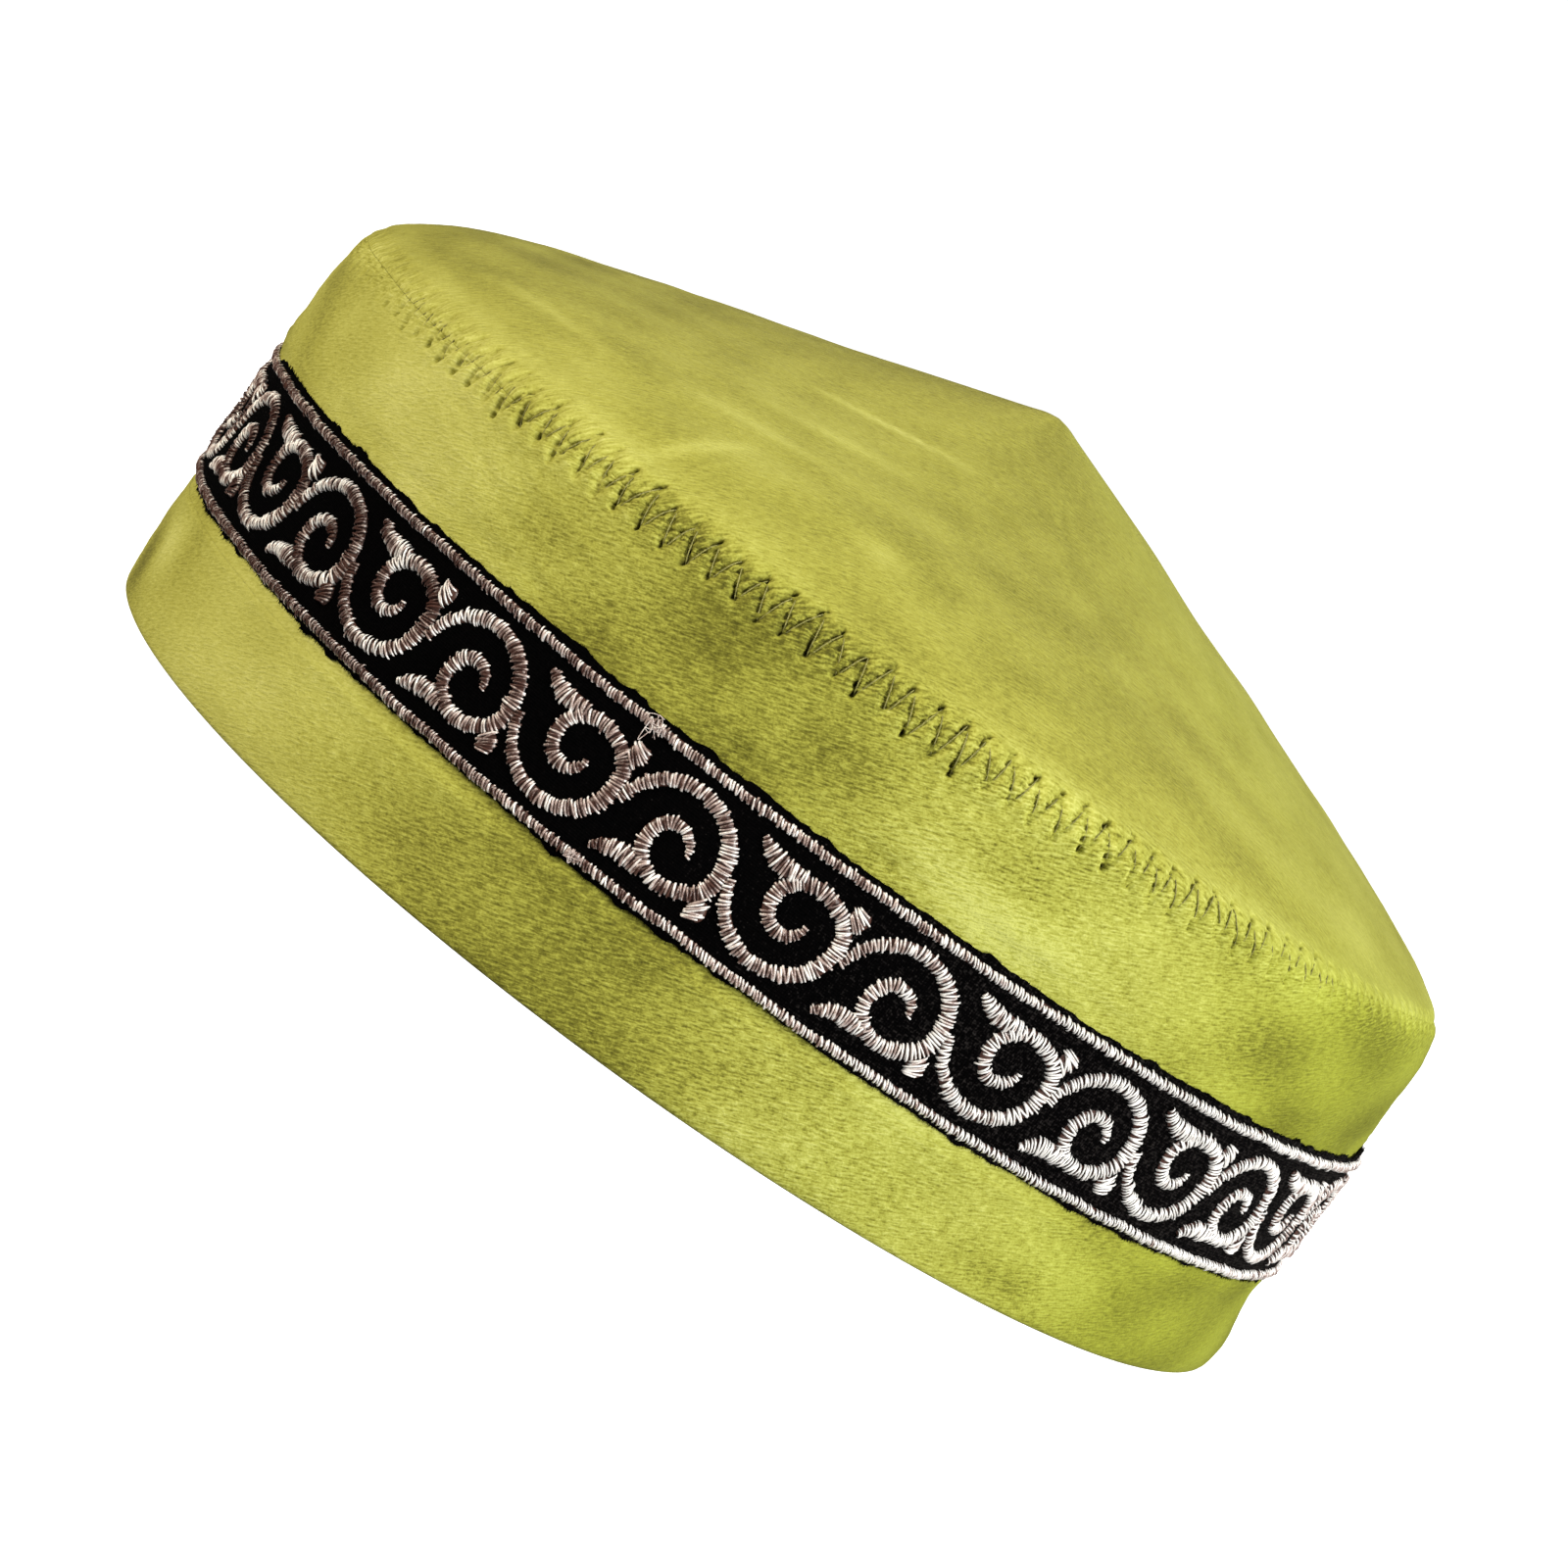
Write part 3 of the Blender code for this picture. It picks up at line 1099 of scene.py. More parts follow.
@dataclass(frozen=True)
class Cloth:
    """The cap's velour: its outside line, its swells and hollows, and its two pieces."""

    form: CapForm
    seam: Zigzag
    fine_columns: int = 2016
    line_steps: int = 2400
    wave: float = 0.10 * MM
    dent: float = 0.055 * MM
    crease: float = 0.050 * MM
    nub: float = 0.016 * MM
    held: float = 2.2 * MM
    pinch_depth: float = 0.17 * MM
    pinch_from: float = 1.6 * MM
    pinch_width: float = 1.3 * MM
    rim_ease: float = 3 * MM
    tip_ease: float = 4 * MM
    stray_reach: float = 14 * MM
    clouded: float = 0.05
    # The weight of the crown's streaks, which are painted highlights along faint creases.
    brushed: float = 0.4
    roll: float = 0.35 * MM
    roll_inside: float = 0.9 * MM

    # The cloth's own waves, dents, creases and nubs, the ribbon's tug and the pile's clouds.
    WAVES = Ripples(11, (2, 7), (90 * MM, 40 * MM))
    DENTS = Ripples(12, (9, 26), (30 * MM, 9 * MM), 18)
    CREASES = Ripples(13, (12, 46), (5.5 * MM, 2.2 * MM), 20)
    NUBS = Ripples(14, (60, 150), (5 * MM, 2.2 * MM), 26)
    TUG = Ripples(15, (20, 70))
    CLOUDS = Ripples(21, (5, 26), (34 * MM, 12 * MM), 16)
    PLAIN_PILE = (-0.15, 0.6, 0.3)

    # Outside, under and over the ribbon. Columns: height as a share of the way from the rim to
    # the ribbon, or from the ribbon to the seam, and how far the cloth stands out from its
    # radius under the ribbon, as a share of its thickness.
    UNDER = (
        (0.000, -0.45),
        (0.003, -0.20),
        (0.014, -0.06),
        (0.045, 0.02),
        (0.110, 0.06),
        (0.250, 0.09),
        (0.860, 0.12),
        (0.980, 0.06),
    )
    OVER = (
        (0.02, 0.04),
        (0.22, 0.27),
        (0.58, 0.30),
        (0.82, 0.12),
        (1.00, -0.22),
    )

    # Outside of the crown. Columns: radius as a share of the seam's, height as a share of the rise.
    CROWN = (
        (0.990, 0.044),
        (0.976, 0.086),
        (0.937, 0.151),
        (0.890, 0.220),
        (0.815, 0.308),
        (0.697, 0.419),
        (0.520, 0.567),
        (0.340, 0.718),
        (0.180, 0.856),
        (0.054, 0.962),
        (0.022, 0.990),
        (0.000, 1.000),
    )

    # Inside of the wall, from the seam down. Columns: height as a share of the fold's height,
    # and how far in from the inner radius, as a share of the fold's depth.
    FOLD = (
        (1.10, 0.00),
        (1.00, 0.10),
        (0.90, 0.85),
        (0.80, 1.00),
        (0.17, 1.00),
        (0.07, 0.90),
        (0.01, 0.60),
    )

    # Soft swells and hollows of the crown. Columns: direction and half width in degrees, middle
    # and half reach as shares of the rise, and height as a share of the cloth.
    SWELLS = (
        (-90, 88, 0.24, 0.26, 0.42),
        (90, 88, 0.24, 0.26, -0.42),
        (-28, 24, 0.62, 0.20, -0.25),
        (-8, 16, 0.38, 0.16, 0.22),
        (34, 26, 0.46, 0.22, -0.22),
        (150, 40, 0.45, 0.25, 0.25),
        (-140, 36, 0.50, 0.25, -0.25),
        (90, 75, 0.45, 0.30, -0.40),
        (90, 60, 0.70, 0.12, -0.25),
        (-90, 75, 0.50, 0.28, 0.25),
    )

    # Soft swells and hollows of the wall. Columns: direction and half width in degrees, middle
    # height, half reach and lift in millimetres.
    BULGES = (
        (-90, 65, 46, 13, 0.60),
        (90, 60, 47, 13, -0.75),
        (90, 75, 3, 11, 1.50),
        (-90, 70, 5, 9, 0.40),
        (-90, 46, 12, 6, 0.60),
        (-90, 50, 39, 5.5, 0.95),
        (90, 50, 57, 5.5, -0.80),
        (-18, 14, 46, 8, -0.30),
        (20, 18, 44, 9, 0.25),
        (178, 30, 46, 9, -0.35),
    )

    STREAKS = (
        Streak((-37, 0.500), (-9, 0.395), 0.9 * MM, 0.85),
        Streak((-31, 0.665), (-14, 0.557), 1.6 * MM, 0.50),
        Streak((-33, 0.789), (-15, 0.702), 1.3 * MM, 0.45),
        Streak((-57, 0.909), (-39, 0.854), 1.4 * MM, 0.50),
        Streak((-25.4, 0.975), (-22.8, 0.807), 1.2 * MM, 0.70),
        Streak((-8, 0.825), (-4, 0.815), 2.2 * MM, 0.52),
        Streak((2, 0.820), (6, 0.810), 3.4 * MM, 0.42),
        Streak((10, 0.905), (17, 0.895), 3.0 * MM, 0.42),
        Streak((95, 0.60), (118, 0.66), 1.2 * MM, 0.36),
        Streak((160, 0.50), (176, 0.44), 1.1 * MM, 0.36),
        Streak((-150, 0.74), (-132, 0.80), 1.3 * MM, 0.32),
    )

    # Painted light and shade round the cap, carried in the pile's tone: paler where the pile
    # catches the lights, darker where it turns from them. Columns: angle in degrees, tone of the
    # wall, tone of the crown, roughness of the wall's strokes, and greenness.
    PILE = (
        (-180, 0.00, 0.00, 0.7, 0.4),
        (-130, 0.06, -0.03, 0.6, 0.1),
        (-90, -0.02, -0.12, 0.7, 0.0),
        (-65, 0.02, -0.12, 0.7, 0.0),
        (-50, 0.23, -0.06, 0.6, 0.0),
        (-40, 0.27, -0.03, 0.6, 0.0),
        (-31, 0.15, 0.00, 0.9, 0.1),
        (-20, -0.11, 0.01, 1.1, 0.2),
        (-9, -0.20, -0.03, 1.1, 0.3),
        (0, -0.17, -0.07, 1.2, 0.3),
        (10, 0.06, -0.08, 1.6, 0.3),
        (20, 0.15, -0.08, 1.6, 0.4),
        (31, 0.15, -0.05, 1.35, 0.4),
        (40, 0.05, 0.00, 1.2, 0.6),
        (50, -0.07, 0.03, 0.7, 0.9),
        (60, -0.11, 0.06, 0.5, 1.0),
        (85, -0.05, 0.06, 0.4, 1.0),
        (130, 0.05, 0.04, 0.6, 0.7),
        (180, 0.00, 0.00, 0.7, 0.4),
    )

    # Paler and darker patches of the wall: partly brushed nap, partly painted highlights and
    # painted shade, such as the shade of a fold low at the left. Columns: angle and half width in
    # degrees, height and half height in millimetres, and how much paler the pile lies.
    PATCHES = (
        (22, 14, 41, 6, 0.24),
        (12, 9, 42, 6, 0.24),
        (20, 10, 12, 8, 0.10),
        (0, 10, 42, 6, 0.06),
        (-68, 7, 10, 8, 0.22),
        (36, 4, 8, 2.5, 0.12),
        (39, 3, 4, 2.5, -0.12),
        (-5, 9, 50, 5, 0.05),
        (-46, 14, 47, 9, 0.07),
        (4, 6, 44, 6, 0.05),
        (-24, 6, 43, 7, 0.10),
        (62, 22, 42, 8, -0.06),
        (-73, 6, 6, 8, -0.22),
        (-62, 5, 12, 6, -0.12),
        (-74, 6, 50, 5, -0.12),
        (-66, 5, 44, 5, -0.08),
        (50, 20, 63, 6, 0.06),
    )

    def outside(self) -> Array:
        """The outside line from the rim to the tip. Columns: radius and height.

        Returns:
            Its points.
        """
        form = self.form
        over = form.seam - form.head
        rows = [(form.outer + out * form.cloth, share * form.foot) for share, out in self.UNDER]
        rows += [(form.outer + out * form.cloth, form.head + share * over) for share, out in self.OVER]
        rows += [(share * form.seam_radius, form.seam + lift * form.rise) for share, lift in self.CROWN]
        return smoothed(np.array(rows), self.line_steps)

    def at_height(self, height: float) -> float:
        """The run at which the outside line reaches a height."""
        line = self.outside()
        return float(np.interp(height, line[:, 1], run_of(line)))

    def seat(self, run: Array) -> Array:
        """The outside line at the given runs: radius, height, and the same parts of its normal.

        Args:
            run: runs along it.

        Returns:
            Four rows, with a value for each run.
        """
        line = self.outside()
        step = np.gradient(line, axis=0)
        normal = unit(np.stack([step[:, 1], -step[:, 0]], axis=1))
        return read_line(np.hstack([line, normal]), run_of(line), run).T

    def up_crown(self, height: Array) -> Array:
        """The share of the crown's rise that a height has, from nought at the seam."""
        return np.clip((height - self.form.seam) / self.form.rise, 0.0, 1.0)

    def lifted(self, angle: Array, seat: Array, lift: Array) -> Array:
        """Points of the cloth, lifted from its outside line along the line's normal.

        The crown's swells lift it too, and the wall's bulges move it straight outwards.

        Args:
            angle: angles round the cap.
            seat: the outside line there.
            lift: how far they are lifted.

        Returns:
            The points.
        """
        radius, height, out, up = seat
        lift = lift + self.form.cloth * humps(self.SWELLS, angle, self.up_crown(height))
        bulges = MM * humps(self.BULGES, angle, height / MM)
        return self.form.place(angle, radius + bulges + lift * out, height + lift * up)

    def slack(self, angle: Array, run: Array, height: Array) -> Array:
        """The cloth's own unevenness: long waves, short creases and the pinch of the ribbon.

        Args:
            angle: angles round the cap.
            run: runs along the outside.
            height: heights of the outside there.

        Returns:
            How far it stands out at each place.
        """
        form = self.form
        share = self.up_crown(height)
        creased = lobe(angle, -20, 38) * bell(height - 45 * MM, 9 * MM)
        creased = creased + 0.35 * bell(height - 9 * MM, 9 * MM)
        waves = self.wave * self.WAVES.at(angle, run) * (1 - 0.6 * share)
        waves = waves + self.dent * self.DENTS.at(angle, run)
        waves = waves + self.crease * self.CREASES.at(angle, run) * creased
        edges = np.minimum(np.abs(height - form.foot), np.abs(height - form.head))
        waves = waves * (1 - fall(edges, self.held)) * (1 - share**2)
        nubs = self.nub * self.NUBS.at(angle, run) * (1 - share)
        tug = 1 + 0.6 * self.TUG.level(angle)
        pinch = self.pinch_depth * fall(edges - self.pinch_from, self.pinch_width) * tug
        ease = np.clip(height / self.rim_ease, 0.0, 1.0) * (1 - share**8)
        ease = ease * (1 - bell(height - form.seam - form.rise, self.tip_ease))
        return (waves + nubs + pinch * (height < form.seam)) * ease

    def pile(
        self, angle: Array, run: Array, height: Array, radius: Array, shade: Array
    ) -> Array:
        """The pile's tone, painted light and shade included, its strokes' roughness and greenness.

        The tone is the table's painted light and shade, plus faint seeded clouds, the crown's
        pale streaks, which are painted highlights along faint creases, the wall's patches, partly
        brushed nap and partly painted highlights and shade, and a painted highlight along the ridge
        over the seam, less the seam's painted shade.

        Args:
            angle: angles round the cap.
            run: runs along the outside.
            height: heights of the outside there.
            radius: its radii.
            shade: how much painted shade the sewing, and lying under the surface, put on it.

        Returns:
            The three values, a row for each point.
        """
        form = self.form
        over = height - form.seam
        wall, crown, rough, green = read_round(self.PILE, angle)
        up = 1 / (1 + np.exp((2.5 * MM - over) / (1.2 * MM)))
        clouds = self.CLOUDS.at(angle, run) * (1 - up * (1 - 0.9 * radius / form.seam_radius))
        tone = wall + (crown - wall) * up + self.clouded * clouds
        # The streaks are painted highlights along faint creases of the crown.
        for streak in self.STREAKS:
            tone = tone + self.brushed * up * streak.at(angle, radius, form.seam_radius)
        # The wall's patches: partly brushed nap, partly painted highlights and painted shade.
        tone = tone + humps(self.PATCHES, angle, height / MM)
        # A painted highlight along the ridge just over the seam.
        ridge = fall(over - 3.6 * MM, 1.2 * MM)
        tip = bell(over - form.rise, 16 * MM)
        tone = tone + 0.10 * ridge - 0.05 * tip - 0.40 * shade
        rough = rough + (0.6 - rough) * up + 0.55 * bell(over, 5 * MM)
        return np.stack([tone, rough, green * (1 - 0.75 * up)], axis=-1)

    def ring(self, columns: int, run: float, depth: float = 0.0) -> tuple[Array, ...]:
        """One ring of the outside, with the pile's values and the place on the cloth.

        Args:
            columns: how many points it has.
            run: its run along the outside line.
            depth: how far it lies under the surface.

        Returns:
            Points, the pile's values and places on the cloth.
        """
        angle = ring_angles(columns)
        from_joint = run - self.at_height(self.form.seam)
        stray = self.seam.wander(angle) * bell(np.array(from_joint), self.stray_reach)
        where = np.clip(run + stray, 0.0, run_of(self.outside())[-1])
        seat = self.seat(where)
        radius, height = seat[:2]
        pitch = TURN * self.form.seam_radius / self.seam.teeth
        sewn, shade = self.seam.relief(angle, np.full(columns, from_joint), pitch)
        points = self.lifted(angle, seat, self.slack(angle, where, height) + sewn - depth)
        # Points under the surface, at the rolled edge and inside, take extra painted shade.
        values = self.pile(angle, where, height, radius, shade + 0.6 * (depth > 0))
        girth = np.stack([angle * self.form.outer, where], axis=1)
        flat = np.stack([radius * np.sin(angle), -radius * np.cos(angle)], axis=1)
        return points, values, flat if from_joint > 0 else girth

    def rings(self, *stretches: tuple[float, ...]) -> list[tuple[Array, ...]]:
        """Rings of the outside, stretch by stretch.

        Args:
            stretches: for each, the columns, where it starts, where it ends and the spacing.
                Rings lie evenly from the start up to, but without, the end.

        Returns:
            The rings.
        """
        found = []
        for columns, start, end, spacing in stretches:
            count = max(int(round(abs(end - start) / spacing)), 1)
            runs = np.linspace(start, end, count, endpoint=False)
            found += [self.ring(columns, run) for run in runs]
        return found

    def plain_ring(self, columns: int, radius: float, height: float) -> tuple[Array, ...]:
        """One ring of the inside, which is finished plainly.

        Args:
            columns: how many points it has.
            radius: its radius.
            height: its height.

        Returns:
            Points, the pile's values and places on the cloth.
        """
        angle = ring_angles(columns)
        points = self.form.place(angle, np.full(columns, radius), np.full(columns, height))
        places = np.stack([angle * self.form.outer, np.full(columns, height)], axis=1)
        return points, np.tile([self.PLAIN_PILE], (columns, 1)), places

    def shell(self, name: str, rings: list[tuple[Array, ...]], material: Material) -> None:
        """Joins rings into one closed piece of cloth that stands for the node of its name.

        Args:
            name: the node's name.
            rings: the rings, in order.
            material: its finish.
        """
        points, pile, places = (np.concatenate(part) for part in zip(*rings))
        faces = link_rings([len(ring[0]) for ring in rings], True)
        values = dict(zip((Attribute.NAP_AND_LIGHT, Attribute.GRIT, Attribute.CAST), pile.T))
        lap = TURN * self.form.outer if name == "side_wall" else 0.0
        make_piece(name + "_cloth", points, faces, material, (name,), values, places, lap)

    def make_wall(self, material: Material) -> None:
        """The side wall: rim, outside, rolled edge at the joint, inside and doubled fold.

        Args:
            material: its finish.
        """
        form = self.form
        wide, medium, coarse = self.fine_columns, self.fine_columns // 2, self.fine_columns // 4
        joint = self.at_height(form.seam)
        foot, head = self.at_height(form.foot), self.at_height(form.head)
        rim, fine, near = 4 * MM, joint - 4.6 * MM, joint - 9 * MM
        edge = joint - 0.02 * MM
        brink = edge - 0.05 * MM
        rings = self.rings(
            (coarse, 0.0, rim, 0.40 * MM),
            (coarse, rim, foot, 0.9 * MM),
            (coarse, foot, head - 2 * MM, 4 * MM),
            (medium, head - 2 * MM, near, 0.75 * MM),
            (medium, near, fine, 0.5 * MM),
            (wide, fine, brink, 0.24 * MM),
        )
        rings.append(self.ring(wide, brink))
        rings += [self.ring(wide, edge, depth) for depth in (0.0, self.roll, self.roll_inside, form.cloth)]
        rings.append(self.plain_ring(medium, form.seam_radius - form.cloth, form.seam - 1.4 * MM))
        middle = form.head + (form.seam - form.head) / 2
        for height in (form.seam - 3 * MM, middle, form.head, form.foot):
            inside = form.inner if height <= middle else form.inner - 0.2 * MM
            rings.append(self.plain_ring(coarse, inside, height))
        for share, depth in self.FOLD:
            radius = form.inner - depth * form.fold_depth
            rings.append(self.plain_ring(coarse, radius, share * form.fold_height))
        self.shell("side_wall", rings, material)

    def make_crown(self, material: Material) -> None:
        """The crown: rolled edge at the joint, outside up to the tip, and inside back down.

        Args:
            material: its finish.
        """
        form = self.form
        wide, medium, coarse = self.fine_columns, self.fine_columns // 2, self.fine_columns // 4
        joint, tip = self.at_height(form.seam), self.at_height(form.seam + form.rise)
        edge = joint + 0.02 * MM
        brink = edge + 0.05 * MM
        fine, near, top, peak = joint + 4.4 * MM, joint + 9 * MM, tip - 16 * MM, tip - 3 * MM
        rings = [self.ring(wide, edge, depth) for depth in (self.roll_inside, self.roll, 0.0)]
        rings += self.rings(
            (wide, brink, fine, 0.24 * MM),
            (medium, fine, near, 0.7 * MM),
            (coarse, near, top, 1.3 * MM),
            (coarse // 2, top, peak, 0.9 * MM),
            (coarse // 4, peak, tip - 0.4 * MM, 0.45 * MM),
        )
        rings += [self.pole(tip, 0.0), self.pole(tip, form.cloth)]
        inside = 5 * MM
        count = int(round((tip - joint - 2 * inside) / inside))
        runs = np.linspace(tip - inside, joint + inside, count, endpoint=False)
        rings += [self.ring(coarse // 2, run, form.cloth) for run in runs]
        rings.append(self.ring(coarse, joint + 4 * MM, form.cloth))
        rings.append(self.ring(medium, joint + 2.6 * MM, form.cloth))
        rings.append(self.ring(wide, joint + 1 * MM, form.cloth))
        self.shell("crown", rings, material)

    def pole(self, tip: float, depth: float) -> tuple[Array, ...]:
        """The single point that closes the crown on its axis."""
        points, values, places = self.ring(1, tip, depth)
        return points, values, 0 * places


# Ribbon and embroidery


@dataclass(frozen=True)
class Ribbon:
    """The black band, with wavy cut edges and short fluff along them."""

    form: CapForm
    columns: int = 1440
    bulge: float = 0.05 * MM
    fray: float = 0.045 * MM
    lump: float = 0.26 * MM
    sway: float = 0.09 * MM
    tufts: int = 2400
    tuft: float = 0.40 * MM
    tuft_foot: float = 0.07 * MM
    tuft_sunk: float = 0.15 * MM
    tuft_inset: float = 0.25 * MM

    # Across the band. Columns: share of the way from the lower to the upper edge, and depth
    # under its face as a share of its thickness.
    SECTION = (
        (0.000, 0.75),
        (0.004, 0.30),
        (0.016, 0.05),
        (0.050, 0.00),
        (0.200, 0.00),
        (0.400, 0.00),
        (0.600, 0.00),
        (0.800, 0.00),
        (0.950, 0.00),
        (0.984, 0.05),
        (0.996, 0.30),
        (1.000, 0.75),
        (0.990, 1.00),
        (0.500, 1.00),
        (0.010, 1.00),
    )
    THICKNESS = 0.5 * MM

    # Painted light on the black round the cap: paler at the right, where the lights fall, and
    # darker at the left. Columns: angle in degrees, and tone.
    RIBBON_LIGHT = (
        (-180, 0.00),
        (-75, 0.02),
        (-60, -0.08),
        (-20, -0.06),
        (5, 0.12),
        (20, 0.24),
        (45, 0.27),
        (70, 0.36),
        (110, 0.25),
        (180, 0.00),
    )

    def edge(self, angle: Array, upper: bool) -> Array:
        """Height of an edge: its own, plus a slow sway, lumps and a fine fray.

        Args:
            angle: angles round the cap.
            upper: whether it is the upper edge.

        Returns:
            The heights.
        """
        seed = 51 if upper else 53
        sway = self.sway * Ripples(seed, (6, 34)).level(angle)
        fray = self.fray * Ripples(seed + 1, (150, 420), count=24).level(angle)
        lumps = Ripples(seed + 2, (40, 130), count=24).level(angle) - 0.3
        outwards = sway + fray + self.lump * np.clip(lumps, 0, 1.6)
        return self.form.head + outwards if upper else self.form.foot - outwards

    def make(self, material: Material) -> None:
        """Builds the band, and then its fluff.

        Args:
            material: its finish.
        """
        angle = ring_angles(self.columns)
        low, high = self.edge(angle, False), self.edge(angle, True)
        puff = self.bulge * Ripples(55, (5, 60), (30 * MM, 8 * MM), 18).level(angle)
        rings = []
        places = []
        for share, depth in self.SECTION:
            height = low + share * (high - low)
            radius = self.form.face + puff - depth * self.THICKNESS
            rings.append(self.form.place(angle, radius, height))
            places.append(np.stack([angle * self.form.face, height], axis=1))
        points, uv = np.concatenate(rings), np.concatenate(places)
        faces = link_rings([self.columns] * len(self.SECTION), True)
        lap = TURN * self.form.face
        # The band's tone is painted light: paler at the right, where the lights fall.
        worn_and_lit = {Attribute.TONE: np.tile(read_round(self.RIBBON_LIGHT, angle)[0], len(self.SECTION))}
        make_piece("ribbon_band", points, faces, material, ("ribbon",), worn_and_lit, uv, lap)
        self.make_fluff(material)

    def make_fluff(self, material: Material) -> None:
        """Short tufts along both edges: thin three-sided spikes that lean at random.

        Args:
            material: its finish.
        """
        draw = np.random.default_rng(61)
        count = 2 * self.tufts
        upper = np.arange(count) % 2 == 0
        angle = draw.uniform(-math.pi, math.pi, count)
        height = np.where(upper, self.edge(angle, True), self.edge(angle, False))
        outward = np.where(upper, 1.0, -1.0)
        length = self.tuft * draw.uniform(0.4, 1.2, count)
        lean = draw.normal(0, 0.7, count)
        foot = self.tuft_foot * draw.uniform(0.6, 1.3, count)
        form = self.form
        sunk = form.face - self.tuft_sunk + 0 * angle
        inset = height - outward * self.tuft_inset
        tip_angle = angle + lean * length / form.face
        tip_height = height + outward * length * 0.8
        corners = [
            form.place(angle - foot / form.face, sunk, inset),
            form.place(angle + foot / form.face, sunk, inset),
            form.place(angle, sunk + 1.6 * foot, inset),
            form.place(tip_angle, sunk + 0.35 * length, tip_height),
        ]
        points = np.stack(corners, axis=1)
        sides = np.array([(0, 1, 3), (1, 2, 3), (2, 0, 3), (0, 2, 1)])
        faces = np.where(upper[:, None, None], sides[None], sides[None, :, ::-1])
        faces = [(faces + len(corners) * np.arange(count)[:, None, None]).reshape(-1, 3)]
        uv = np.repeat(np.stack([angle * form.face, height], axis=1), len(corners), axis=0)
        # The fluff takes the same painted light as the band.
        worn_and_lit = {Attribute.TONE: np.repeat(read_round(self.RIBBON_LIGHT, angle)[0], len(corners))}
        make_piece("ribbon_fluff", points, faces, material, values=worn_and_lit, uv=uv)


